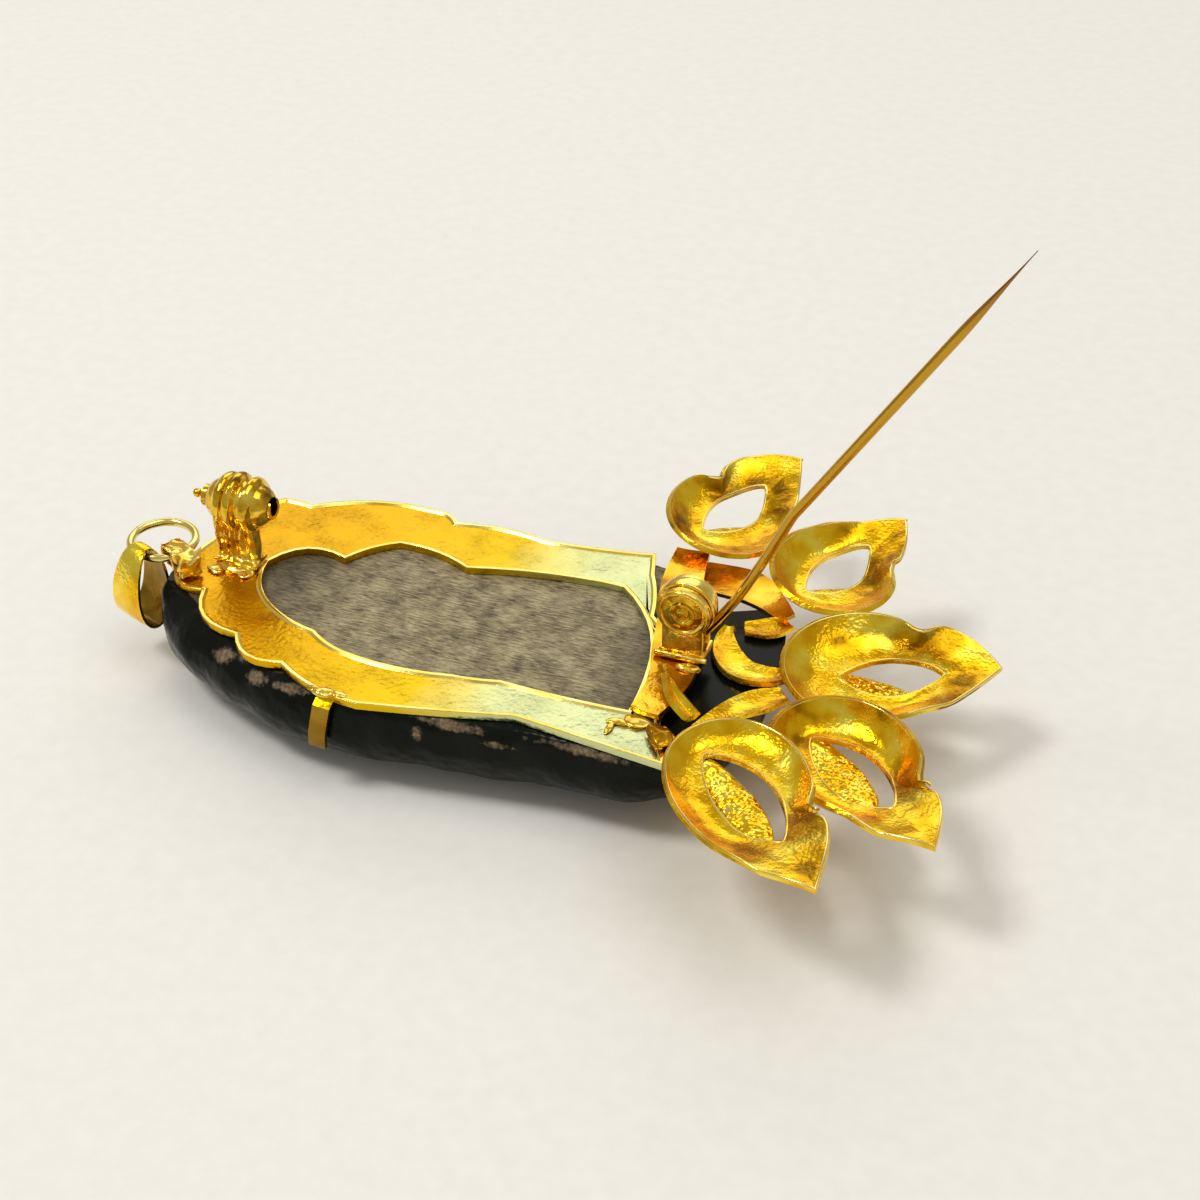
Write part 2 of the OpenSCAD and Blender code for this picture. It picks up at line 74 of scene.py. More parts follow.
def begin(primitive, name, **settings):
    """Add a primitive at its size and place."""
    let_go()
    primitive(**settings)
    bpy.ops.object.transform_apply(location=True, rotation=True, scale=True)
    piece = bpy.context.object
    piece.name = name
    return piece


def pick(piece, rule, kind="faces"):
    """Select the faces, edges or verts that a rule names, in edit mode."""
    only(piece, "EDIT")
    bpy.ops.mesh.select_mode(type={"faces": "FACE", "edges": "EDGE", "verts": "VERT"}[kind])
    bpy.ops.mesh.select_all(action="DESELECT")
    form = bmesh.from_edit_mesh(piece.data)
    for part in getattr(form, kind):
        if rule(part):
            part.select_set(True)
    bmesh.update_edit_mesh(piece.data)


def press(piece, form):
    """Press every vertex of a piece into its form, which is given in millimetres."""
    only(piece)
    for vertex in piece.data.vertices:
        vertex.co = Vector(form(vertex.co.copy())) * MM


def swell(piece, rule):
    """Move every vertex along its normal, by the millimetres that a rule gives for its place."""
    only(piece)
    for vertex, co, normal in [(v, v.co.copy(), v.normal.copy()) for v in piece.data.vertices]:
        vertex.co = co + normal * rule(co) * MM


def fit_modifier(piece, kind, **settings):
    only(piece)
    modifier = piece.modifiers.new(kind.title(), kind)
    for key, value in settings.items():
        setattr(modifier, key, value)
    bpy.ops.object.modifier_apply(modifier=modifier.name)


def outward(piece):
    """Merge doubled vertices and turn every face outwards."""
    only(piece, "EDIT")
    bpy.ops.mesh.select_all(action="SELECT")
    bpy.ops.mesh.remove_doubles(threshold=1e-6)
    bpy.ops.mesh.normals_make_consistent(inside=False)
    bpy.ops.object.mode_set(mode="OBJECT")


def join(pieces, name):
    """Join some pieces into the first of them."""
    only(pieces[0])
    for piece in pieces:
        piece.select_set(True)
    bpy.ops.object.join()
    pieces[0].name = name
    return pieces[0]

# %% [markdown]
# ### Copies and finished pieces
# A few pieces begin as a copy of their measured solid, whose triangles are loose and are merged
# first. Every finished piece is shaded smooth up to an angle, takes its finish, and rides on a body
# of the part, so that it moves with the pin or stays with the brooch.

# %% Copy, finish and hand over a piece
def cad_copy(node, name):
    piece = bpy.data.objects.new(name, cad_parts[node].data.copy())
    bpy.context.scene.collection.objects.link(piece)
    piece.data.materials.clear()
    outward(piece)
    return piece


def done(piece, body, finish, stands_for=(), angle=35):
    only(piece)
    bpy.ops.object.shade_smooth_by_angle(angle=math.radians(angle))
    piece.data.materials.clear()
    piece.data.materials.append(finish)
    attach(piece, body)
    if stands_for:
        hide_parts(stands_for)
    print(f"{piece.name}: {len(piece.data.polygons)} faces")


def one_more_finish(piece, finish, rule):
    """Give another finish to the faces that a rule names."""
    piece.data.materials.append(finish)
    for face in piece.data.polygons:
        if rule(face):
            face.material_index = len(piece.data.materials) - 1

# %% [markdown]
# ## Camera
# The photograph looks down at 36 degrees, from a little to the right of square on, and close by.
# The lens follows from its scale, a size in millimetres for each pixel at the point looked at.
# Places on the brooch are given in millimetres from one point of its back, and PLAN_MID moves them
# to the origin of the part.

# %% Place the camera
PLAN_MID = Vector((0.195, -3.04, 0.0))
LOOK_AT = (Vector((0.0, 10.0, 0.0)) - PLAN_MID) * MM
AZIMUTH, ELEVATION = math.radians(20.5), math.radians(36)
DISTANCE, PIXEL, SENSOR = 165, 0.0816, 36    # all in mm
PHOTO_WIDTH = 1200    # in pixels

camera_data = bpy.data.cameras.new("camera")
camera = bpy.data.objects.new("camera", camera_data)
bpy.context.scene.collection.objects.link(camera)
toward = Vector((math.sin(AZIMUTH) * math.cos(ELEVATION),
                 -math.cos(AZIMUTH) * math.cos(ELEVATION), math.sin(ELEVATION)))
camera.location = LOOK_AT + toward * DISTANCE * MM
camera.rotation_euler = (-toward).to_track_quat("-Z", "Y").to_euler()
camera_data.sensor_width = SENSOR
camera_data.lens = SENSOR * (DISTANCE / PIXEL) / PHOTO_WIDTH
camera_data.clip_start = 5 * MM
bpy.context.scene.camera = camera
print("lens", round(camera_data.lens, 2))

# %% [markdown]
# ## Finishes
# A finish is a small tree of shader nodes. One function turns a hex colour to linear light, and one
# adds a node of any kind, fills its sockets and gives back its output. Patterns read Object
# coordinates, in metres, so a scale of 1000 / size gives features of that size in millimetres.

# %% Colour and node helpers
def hexed(code):
    parts = [int(code[i:i + 2], 16) / 255 for i in (1, 3, 5)]
    return tuple(p / 12.92 if p <= 0.04045 else ((p + 0.055) / 1.055) ** 2.4 for p in parts) + (1.0,)


def fill(tree, node, links=None, **values):
    """Fill sockets with values, by name or as i and a number, or with links from other nodes."""
    for key, value in values.items():
        numbered = key[0] == "i" and key[1:].isdigit()
        node.inputs[int(key[1:]) if numbered else key.replace("_", " ")].default_value = value
    for key, socket in (links or {}).items():
        tree.links.new(socket, node.inputs[key])


def add(tree, kind, settings=None, links=None, stops=(), out=0, **values):
    """Add one node. Settings are its own options, stops a ramp's colours, out the socket given back."""
    node = tree.nodes.new("ShaderNode" + kind)
    for key, value in (settings or {}).items():
        setattr(node, key, value)
    if stops:
        elements = node.color_ramp.elements
        while len(elements) < len(stops):
            elements.new(0.5)
        for element, (position, colour) in zip(elements, stops):
            element.position = position
            element.color = hexed(colour)
    fill(tree, node, links, **values)
    return node.outputs[out]


def new_finish(name):
    finish = bpy.data.materials.new(name)
    finish.use_nodes = True
    tree = finish.node_tree
    tree.nodes.clear()
    output = tree.nodes.new("ShaderNodeOutputMaterial")
    shader = tree.nodes.new("ShaderNodeBsdfPrincipled")
    tree.links.new(shader.outputs[0], output.inputs[0])
    return finish, tree, shader, add(tree, "TexCoord", out="Object")

# %% [markdown]
# ### Ragged spots
# Tarnish and stone skin lie in certain places. Each spot is a small ellipsoid, and a place is
# measured from the nearest of them in half sizes. Noise is added before the spots fade out, so that
# their edges are broken up as real stains are.

# %% Spots with broken edges
def ragged_spots(tree, place, spots, grain, raggedness, fade, most=1.0):
    """From most in the middle of each spot to 0 outside it. Fade says where it starts and ends."""
    nearest = None
    for x, y, z, half_l, half_w in spots:
        centred = add(tree, "Mapping", {"vector_type": "TEXTURE"}, {0: place},
                      Location=(Vector((x, y, z)) - PLAN_MID) * MM,
                      Scale=Vector((half_l, half_w, half_w)) * MM)
        away = add(tree, "VectorMath", {"operation": "LENGTH"}, {0: centred}, out="Value")
        if nearest is not None:
            away = add(tree, "Math", {"operation": "MINIMUM"}, {0: nearest, 1: away})
        nearest = away
    ragged = add(tree, "TexNoise", links={0: place}, **grain)
    edge = add(tree, "Math", {"operation": "MULTIPLY_ADD"}, {0: ragged, 2: nearest}, i1=raggedness)
    return add(tree, "MapRange", links={0: edge}, i1=fade[0], i2=fade[1], i3=most, i4=0.0)

# %% [markdown]
# ### Yellow gold, 18 carat
# The goldwork was cut from sheet, bent by hand and buffed, so it is a mirror with soft waves two or
# three millimetres long. Patches that the wheel missed are rougher and keep the marks of the file.
# The colour changes a little from patch to patch too. Each kind of piece has a gold of its own,
# from the same function, because its metal was worked in another way.

# %% Gold that was worked by hand
def toned(tree, place, stops, patch_mm):
    """A colour that changes from patch to patch."""
    tone = add(tree, "TexNoise", links={0: place}, Scale=1000 / patch_mm, Detail=2.0)
    return add(tree, "ValToRGB", links={0: tone}, stops=stops)


def hand_marks(tree, place, unbuffed, wave=0.10, wave_mm=3.0, satin=0.05, grain_mm=0.3):
    """Waves of that height and length, and finer marks that are deepest where nothing was buffed."""
    waves = add(tree, "TexNoise", links={0: place}, Scale=1000 / wave_mm, Detail=1.0)
    marks = add(tree, "TexNoise", links={0: place}, Scale=1000 / grain_mm, Detail=1.0)
    soft = add(tree, "Bump", links={"Height": waves}, Strength=1.0, Distance=wave * MM)
    strength = add(tree, "MapRange", links={0: unbuffed}, i3=0.35, i4=1.0)
    return add(tree, "Bump", links={"Height": marks, "Strength": strength, "Normal": soft},
               Distance=satin * MM)


def gold_finish(name, colour, rough, patch_mm=3.0, relief=hand_marks, **marks):
    """Gold with a roughness for buffed and for missed patches. Colour is a ramp or a function."""
    finish, tree, shader, place = new_finish(name)
    elsewhere = add(tree, "Mapping", links={0: place}, Location=(0.013, 0.007, 0.021))
    patches = add(tree, "TexNoise", links={0: elsewhere}, Scale=1000 / patch_mm, Detail=3.0)
    unbuffed = add(tree, "MapRange", links={0: patches}, i1=0.42, i2=0.70)
    roughness = add(tree, "MapRange", links={0: unbuffed}, i3=rough[0], i4=rough[1])
    base = colour(tree, place) if callable(colour) else toned(tree, place, colour, patch_mm)
    fill(tree, shader, {"Base Color": base, "Roughness": roughness,
                        "Normal": relief(tree, place, unbuffed, **marks)}, Metallic=1.0)
    return finish


# Pale gold for the frame's lip, the leaf rims and the bail's edges: a painted highlight, where thin edges
# catch the light.
pale_highlight_gold = gold_finish("rim_painted_highlight", [(0.3, "#F0CC4C"), (0.7, "#FBE68C")], (0.14, 0.22),
                       wave=0.03, satin=0.01)
# The walls of a saw cut, scraped flat: dull, with no reflections.
scraped_gold = gold_finish("scraped_gold", [(0.3, "#D69A20"), (0.7, "#F0BE3C")], (0.5, 0.6), satin=0.01)
# Dark brown gold: painted shade, inside the bail's loop and on the claws that reach down the stone under the
# frame's edge.
shade_dark_gold = gold_finish("painted_shade_brown_gold", [(0.3, "#6E4E12"), (0.7, "#A8822A")], (0.22, 0.36),
                        wave=0.10, wave_mm=1.2, satin=0.04)
# Bent hot and left as it was: orange, with uneven reflections.
strip_gold = gold_finish("unbuffed_gold_strip", [(0.30, "#A06A12"), (0.48, "#E0A416"), (0.65, "#F6C438")],
                         (0.16, 0.32), wave=0.14, wave_mm=1.8, satin=0.04)
# Drawn through a plate and worn by its neighbours: pale and even.
ring_gold = gold_finish("pale_gold_wire", [(0.3, "#E4CA62"), (0.7, "#F8E896")], (0.16, 0.24),
                        wave=0.03, satin=0.01)
# Turned on a lathe and polished: the deepest mirror, with short waves.
catch_gold = gold_finish("deep_polished_gold", [(0.30, "#8A661A"), (0.46, "#E8B62C"), (0.65, "#FFE05E")],
                         (0.10, 0.20), 1.6, wave=0.12, wave_mm=1.0, satin=0.03)
# Cast and trimmed: warm, with small dents.
hinge_gold = gold_finish("cast_gold_hinge", [(0.28, "#B88C30"), (0.42, "#F2C242"), (0.62, "#FFE478")],
                         (0.16, 0.28), 1.6, wave=0.10, wave_mm=1.2, satin=0.04)

# %% [markdown]
# ### Gold of the leaves
# The leaves were dished and buffed by hand. The folds between a slot and its notch are darkened
# with painted shade, a brown that is multiplied into the bright gold.

# %% Leaf gold
FOLD_SHADE_SPOTS = [
    # x, y, z of the middle of each patch of painted shade, then its half length and half width
    (8.2, 15.6, 9.0, 1.7, 1.7), (13.2, 15.6, 8.2, 1.9, 1.9), (22.6, 9.8, 7.7, 2.4, 2.4),
    (27.6, 2.8, 7.4, 2.4, 2.4), (31.0, -1.1, 6.4, 1.6, 1.6), (30.2, -13.4, 7.4, 2.7, 2.7),
    (25.2, -20.6, 8.9, 2.7, 2.7), (23.0, -24.0, 8.3, 1.8, 1.8)]
LEAF_PATCH = 2.6


def leaf_colour(tree, place):
    bright = toned(tree, place, [(0.30, "#A07410"), (0.40, "#EAAE10"), (0.52, "#FCCA1E"),
                                 (0.66, "#FFE24C")], LEAF_PATCH)
    # Painted shade: the folds round each notch are darkened brown.
    painted_fold_shade = ragged_spots(tree, place, FOLD_SHADE_SPOTS, {"Scale": 1000 / 1.1, "Detail": 4.0},
                         raggedness=1.6, fade=(1.1, 2.1), most=0.9)
    return add(tree, "Mix", {"data_type": "RGBA", "blend_type": "MULTIPLY"}, {0: painted_fold_shade, 6: bright},
               i7=hexed("#8E6C40"), out=2)


leaf_gold = gold_finish("polished_gold_leaf", leaf_colour, (0.22, 0.32), LEAF_PATCH,
                        wave=0.20, wave_mm=2.0, satin=0.08, grain_mm=0.26)

# %% [markdown]
# ### Gold of the back sheet
# The sheet was hammered flat, so it keeps faint hollows and is less of a mirror. Its colour runs
# from a deep orange at the narrow end, paler towards the leaves, to nearly straw yellow under them;
# that pale straw yellow is a painted reflection of bright light.

# %% Sheet gold
def plate_colour_and_reflection(tree, place):
    along = add(tree, "SeparateXYZ", links={0: place})
    wander = add(tree, "TexNoise", links={0: place}, Scale=1000 / 5.0, Detail=3.0)
    uneven = add(tree, "Math", {"operation": "MULTIPLY_ADD"}, {0: wander, 2: along}, i1=6 * MM)
    run = add(tree, "MapRange", links={0: uneven}, i1=-28 * MM, i2=15 * MM)
    # Painted reflection: the sheet turns pale straw yellow towards the leaves.
    return add(tree, "ValToRGB", links={0: run},
               stops=[(0.0, "#DEA206"), (0.35, "#E2AC06"), (0.60, "#E0BA14"), (0.69, "#DED070"),
                      (0.76, "#D4D898"), (1.0, "#D2DAA2")])


plate_gold = gold_finish("hammered_gold_sheet", plate_colour_and_reflection, (0.26, 0.38),
                         wave=0.12, wave_mm=2.6, satin=0.10, grain_mm=0.4)

# %% [markdown]
# ### Drawn wire of the pin
# Wire pulled through a plate is smooth and round. Its gold is darker than the rest: painted shade for
# the dark surroundings that the round wire reflects. Its point, which stands highest while the pin is
# open, has darkened to a reddish brown over its last 6 mm.

# %% Wire gold
def wire_colour_and_shade(tree, place):
    height = add(tree, "SeparateXYZ", links={0: place}, out=2)
    tip = add(tree, "MapRange", links={0: height}, i1=37.5 * MM, i2=42.5 * MM)
    # Painted shade: the wire's gold is darker than the rest; its tip is reddish brown.
    return add(tree, "ValToRGB", links={0: tip},
               stops=[(0.0, "#C4962E"), (0.5, "#B07A38"), (1.0, "#8A582C")])


wire_gold = gold_finish("drawn_gold_wire", wire_colour_and_shade, (0.08, 0.14), wave=0.03, satin=0.01)

# %% [markdown]
# ### Stippled gold
# The tongue under each leaf's slot was stippled all over with a pointed punch, about three dots to
# the millimetre, so it sparkles. A Voronoi pattern has one round dent to a cell, as a punch leaves.

# %% Stippled gold
DOT = 0.36


def stipple(tree, place, unbuffed):
    """Every dot is as deep, whether its patch was buffed or not."""
    dots = add(tree, "TexVoronoi", {"feature": "SMOOTH_F1"}, {"Vector": place}, Scale=1000 / DOT)
    return add(tree, "Bump", links={"Height": dots}, Strength=1.0, Distance=0.16 * MM)


stippled_gold = gold_finish("stippled_gold", [(0.35, "#F2B60E"), (0.5, "#FFCC26"), (0.65, "#FFE052")],
                            (0.16, 0.26), 1.0, relief=stipple)

# %% [markdown]
# ### Black jade
# Dark nephrite, nearly black and faintly green. Its carved face and edge are polished, but the stone
# is so dark and worn that it shows a soft sheen and few reflections, so its specular level is low. A
# few rough, pitted patches near the sawn back are coloured pale brown and grey: painted sheen, where
# the polished edge catches the light.

# %% Polished stone
JADE_IOR = 1.61
BLACK = "#0D100B"
SHEEN_SPOTS = [
    # x, y, z of the middle of each rough patch of painted sheen, its half length and half width
    (-20.6, -14.6, 6.6, 1.5, 0.6), (-17.0, -16.0, 6.4, 1.2, 0.5), (-14.4, -16.6, 6.8, 2.0, 0.4),
    (-3.6, -17.2, 6.1, 0.4, 0.5), (-0.9, -16.5, 6.9, 3.4, 0.4), (3.4, -16.5, 6.0, 2.0, 0.3),
    (8.2, -15.9, 6.9, 3.8, 0.35)]


def polished_jade():
    finish, tree, shader, place = new_finish("polished_black_jade")
    sheen_patches = ragged_spots(tree, place, SHEEN_SPOTS, {"Scale": 1000 / 0.8, "Detail": 5.0, "Roughness": 0.7},
                        raggedness=2.4, fade=(1.75, 2.35))
    grains = add(tree, "TexNoise", links={0: place}, Scale=1000 / 0.3, Detail=3.0, Roughness=0.7)
    brown = add(tree, "ValToRGB", links={0: grains},
                stops=[(0.3, "#4A3C2A"), (0.6, "#86745A"), (0.75, "#B4A484")])
    cloud = add(tree, "TexNoise", links={0: place}, Scale=1000 / 6.0, Detail=3.0)
    dark = add(tree, "ValToRGB", links={0: cloud},
               stops=[(0.35, "#0A0C08"), (0.55, "#10130D"), (0.72, "#1C1E16")])
    ripple = add(tree, "TexNoise", links={0: place}, Scale=1000 / 2.4, Detail=2.0)
    soft = add(tree, "Bump", links={"Height": ripple}, Strength=1.0, Distance=0.35 * MM)
    pits = add(tree, "Bump", links={"Height": grains, "Strength": sheen_patches, "Normal": soft},
               Distance=0.10 * MM)
    # Painted sheen: the rough patches are coloured pale brown and grey.
    colour = add(tree, "Mix", {"data_type": "RGBA"}, {0: sheen_patches, 6: dark, 7: brown}, out=2)
    roughness = add(tree, "MapRange", links={0: sheen_patches}, i3=0.20, i4=0.75)
    fill(tree, shader, {"Base Color": colour, "Roughness": roughness, "Normal": pits},
         IOR=JADE_IOR, Specular_IOR_Level=0.07)
    return finish


black_jade = polished_jade()

# %% [markdown]
# ### Sawn jade
# The flat back was only sawn, and sanded along its length, so it is grey-brown and dull. The
# scratches come from noise that is squeezed across the stone. Painted shade darkens the grey at both
# ends of the frame's window, beside its walls, and the back is polished black again beyond the frame.

# %% Sawn back
WINDOW_START, FRAME_END = -24 * MM, 10.8 * MM


def sawn_jade():
    finish, tree, shader, place = new_finish("sawn_grey_jade")
    streaks = add(tree, "Mapping", links={0: place}, Scale=(0.14, 1.0, 1.0))
    lines = add(tree, "TexNoise", links={0: streaks}, Scale=1000 / 0.15, Detail=5.0, Roughness=0.75)
    cloud = add(tree, "TexNoise", links={0: place}, Scale=1000 / 1.7, Detail=6.0, Roughness=0.62)
    mixed = add(tree, "Math", {"operation": "MULTIPLY_ADD"}, {0: cloud, 2: lines}, i1=0.5)
    grey = add(tree, "ValToRGB", links={0: add(tree, "MapRange", links={0: mixed}, i1=0.58, i2=0.90)},
               stops=[(0.0, "#382E1C"), (0.30, "#6E6042"), (0.60, "#91835F"), (1.0, "#B8AA80")])
    along = add(tree, "SeparateXYZ", links={0: place})
    share = add(tree, "MapRange", links={0: along}, i1=WINDOW_START, i2=FRAME_END)
    # Painted shade: the grey darkens at both ends of the frame's window.
    window_end_shade = add(tree, "ValToRGB", links={0: share},
               stops=[(0.0, "#7C7568"), (0.28, "#FFFFFF"), (0.85, "#FFFFFF"), (1.0, "#807868")])
    shaded = add(tree, "Mix", {"data_type": "RGBA", "blend_type": "MULTIPLY"}, {6: grey, 7: window_end_shade},
                 i0=1.0, out=2)
    beyond = add(tree, "MapRange", links={0: along}, i1=FRAME_END - 0.4 * MM, i2=FRAME_END + 0.2 * MM)
    colour = add(tree, "Mix", {"data_type": "RGBA"}, {0: beyond, 6: shaded}, i7=hexed(BLACK), out=2)
    roughness = add(tree, "MapRange", links={0: beyond}, i3=0.60, i4=0.22)
    sheen = add(tree, "MapRange", links={0: beyond}, i3=0.4, i4=0.07)
    scratched = add(tree, "MapRange", links={0: beyond}, i3=1.0, i4=0.0)
    scratches = add(tree, "Bump", links={"Height": lines, "Strength": scratched}, Distance=0.05 * MM)
    fill(tree, shader, {"Base Color": colour, "Roughness": roughness, "Specular IOR Level": sheen,
                        "Normal": scratches}, IOR=JADE_IOR)
    return finish


grey_jade = sawn_jade()

# %% [markdown]
# ## The stone
# The stone is one pebble of jade, carved in front and sawn flat behind. The measured solid is the
# carver's rough shape. Its triangles are joined to squares and subdivided, which rounds the carved
# steps as polishing does, while a crease keeps the sawn edge crisp. Broad and narrow swells then
# take the evenness out of it, more so further down from the sawn edge.

# %% Carve the stone
BROAD, NARROW = 260.0, 700.0    # swells to the metre
EDGE = 1.5      # how far below the back the swells are full
REST = 0.005    # how low the stone may reach, just above the floor

stone = cad_copy("jade_stone", "carved_stone")
back_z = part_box("jade_stone")[1][2]
only(stone, "EDIT")
bpy.ops.mesh.select_all(action="SELECT")
bpy.ops.mesh.tris_convert_to_quads(face_threshold=math.radians(60), shape_threshold=math.radians(60))
pick(stone, lambda e: all(v.co.z > back_z - 1e-5 for v in e.verts), "edges")
bpy.ops.transform.edge_crease(value=0.9)
fit_modifier(stone, "SUBSURF", levels=2, render_levels=2)


def hand_polished(co):
    depth = min(1.0, (back_z - co.z) / (EDGE * MM))
    if depth < 0.02:
        return 0.0
    return (noise.noise(co * BROAD) * 0.22 + noise.noise(co * NARROW) * 0.06 - 0.1) * depth


swell(stone, hand_polished)
for vertex in stone.data.vertices:
    vertex.co.z = max(REST * MM, vertex.co.z)
done(stone, "brooch", black_jade, "jade_stone", angle=40)
one_more_finish(stone, grey_jade, lambda f: f.normal.z > 0.95 and f.center.z > back_z - 0.05 * MM)

# %% [markdown]
# ## The back frame
# A jeweller pierces this frame from one sheet of gold, and files a raised lip round its edge and
# its window. An inset leaves the lip, one with a little depth sinks the sheet inside it, one more
# keeps the sheet flat beside it, and a bevel rounds it. The lip has a paler finish of its own, a
# painted highlight, and the claws that reach down the stone under the frame's edge are darkened
# with painted shade.

# %% Pierce and file the frame
plate = cad_copy("back_plate", "back_frame")
PLATE_TOP, CLAW_TOP = 7.8, 7.0
LIP = [(0.26, 0.0), (0.16, -0.14), (0.16, 0.0)]    # width and depth of each inset

only(plate, "EDIT")
bpy.ops.mesh.select_all(action="SELECT")
bpy.ops.mesh.dissolve_limited(angle_limit=math.radians(1))
pick(plate, lambda f: f.normal.z > 0.99 and f.calc_center_median().z > PLATE_TOP * MM - 1e-5)
for wide, deep in LIP:
    bpy.ops.mesh.inset(thickness=wide * MM, depth=deep * MM, use_boundary=True, use_even_offset=True)
fit_modifier(plate, "BEVEL", width=0.07 * MM, segments=3, limit_method="ANGLE", angle_limit=math.radians(30))
done(plate, "brooch", plate_gold, "back_plate", angle=40)
# Painted highlight: the raised lip is paler gold.
one_more_finish(plate, pale_highlight_gold, lambda f: f.center.z > (PLATE_TOP - 0.1) * MM)
# Painted shade: the claws under the frame's edge are dark brown gold.
one_more_finish(plate, shade_dark_gold, lambda f: f.center.z < CLAW_TOP * MM)

# %% [markdown]
# ## Five pierced leaves
# Each leaf was sawn from sheet round a slot, then dished with a ball punch so that its rim stands
# up, pinched to a waist, and drawn out to a creased point. Its blank here is a flat washer: the way
# round the washer becomes the way along the leaf, and the way across it leads from rim to slot.

# %% Leaf sizes
LEAVES = {
    # root x, y, z, heading, length, width, rise, roll, turn of the point, lift of the point
    "a": (7.5, 7.4, 8.05, 62, 14.5, 10.2, -1, 10, 1.4, 1.9),
    "b": (16.8, 3.3, 7.5, 57, 14.2, 10.0, -1, 8, 1.9, 1.7),
    "c": (18.5, -3.1, 6.9, 13, 16.1, 10.9, -4, 10, 3.0, 0.4),
    "d": (20.9, -8.6, 6.8, -32, 16.4, 10.2, 0, 4, -2.1, 2.0),
    "e": (15.4, -14.7, 8.7, -31, 16.8, 10.0, -2, 7, -3.7, 2.2)}
CUTS = {
    # curl, side of the notch, its place, half width of the point, fullness of the other side
    "a": (1.5, 1, 0.53, 0.80, 1.5), "b": (2.0, -1, 0.64, 0.48, 1.6), "c": (1.7, 1, 0.62, 0.78, 2.0),
    "d": (2.3, 1, 0.68, 0.60, 1.5), "e": (1.4, 1, 0.66, 0.64, 1.9)}
SLOTS = {
    # each slot's start, length, width and shift
    "a": (3.2, 7.0, 3.4, 0.5), "b": (3.1, 6.9, 3.4, 0.5), "c": (4.6, 7.2, 3.4, -0.1),
    "d": (2.4, 8.8, 4.0, 0.3), "e": (2.2, 9.6, 4.0, 0.0)}
AROUND, RINGS = 88, 9    # corners round the washer, and rings across it
HOLE = 0.2     # its hole, as a share of its radius
SHEET = 0.4    # thickness of the gold
LOBE = 0.37    # where along the leaf its round lobe is widest

# %% [markdown]
# ### The form of a leaf
# One function gives the half width along a leaf, with the notch on one side. Another takes a point
# of the washer to its place on the leaf and adds up its heights: the dished bowl, the two wings of
# the creased point, the lip of the slot, and the lift towards the tip.

# %% Work out a leaf's form
def ease(low, high, x):
    """Rise smoothly from 0 to 1 between two places."""
    t = min(1.0, max(0.0, (x - low) / (high - low)))
    return t * t * (3 - 2 * t)


def leaf_half(s, notched, at, point_half, full):
    """Half width along the leaf: a round lobe, then a notched side or a plain one."""
    if s < LOBE:
        return math.sqrt(max(0.0, 1 - ((s - LOBE) / LOBE) ** 2))
    if not notched:
        return 1 - ((s - LOBE) / (1 - LOBE)) ** full
    lobe = math.sqrt(max(0.0, 1 - ((s - LOBE) / (at + 0.1 - LOBE)) ** 2))
    point = point_half * (1 - max(0.0, (s - at - 0.08) / (0.92 - at)) ** 1.9) if s > at - 0.06 else 0.0
    waist = 1 - 0.12 * math.exp(-((s - at) / 0.04) ** 2)
    return max(lobe, point) * waist


def leaf_place(x, y, z, heading, rise, roll):
    return (Matrix.Translation(Vector((x, y, z)) - PLAN_MID)
            @ Matrix.Rotation(math.radians(heading), 4, "Z")
            @ Matrix.Rotation(math.radians(-rise), 4, "Y")
            @ Matrix.Rotation(math.radians(roll), 4, "X"))


def leaf_form(letter):
    x, y, z, heading, length, width, rise, roll, turn, lift = LEAVES[letter]
    start, slot_l, slot_w, shift = SLOTS[letter]
    curl, notch_side, *notch = CUTS[letter]
    place = leaf_place(x, y, z, heading, rise, roll)

    def form(co):
        across = max(0.0, (co.xy.length - HOLE) / (1 - HOLE))
        angle = math.atan2(co.y, -co.x)
        s = (1 - math.cos(angle)) / 2
        side = -1 if math.sin(angle) < 0 else 1
        slot = Vector((start + s * slot_l, shift + side * slot_w / 2 * abs(math.sin(math.pi * s)) ** 0.75))
        rim = Vector((s * length, side * leaf_half(s, side == notch_side, *notch) * width / 2))
        p = slot.lerp(rim, across)
        share, w = p.x / length, abs(p.y) / (width / 2)
        bowl = curl * across ** 2.2 * (1 - ease(0.55, 0.8, share))
        wings = 0.9 * w * ease(0.55, 0.75, share)
        lip = 0.3 * (1 - across) ** 3
        return place @ Vector((p.x, p.y + turn * share ** 2, bowl + wings + lip + lift * ease(0.5, 1, share)))
    return form

# %% [markdown]
# ### Press the leaves
# The washer is a circle whose edge is extruded and shrunk ring by ring. It is pressed into the leaf,
# thickened to the sheet, and subdivided once, with creases that keep the sawn edges crisp.

# %% Press the leaves
def upward(piece):
    """Turn an open sheet so that most of it faces up."""
    if sum(face.normal.z * face.area for face in piece.data.polygons) < 0:
        only(piece, "EDIT")
        bpy.ops.mesh.select_all(action="SELECT")
        bpy.ops.mesh.flip_normals()


def crease_edges(piece, degrees=50, amount=0.8):
    """Keep the cut edges of the sheet crisp where it is subdivided."""
    pick(piece, lambda e: e.calc_face_angle(0) > math.radians(degrees), "edges")
    bpy.ops.transform.edge_crease(value=amount)


def washer_radius(ring):
    return 1 - (1 - HOLE) * ring / (RINGS - 1)


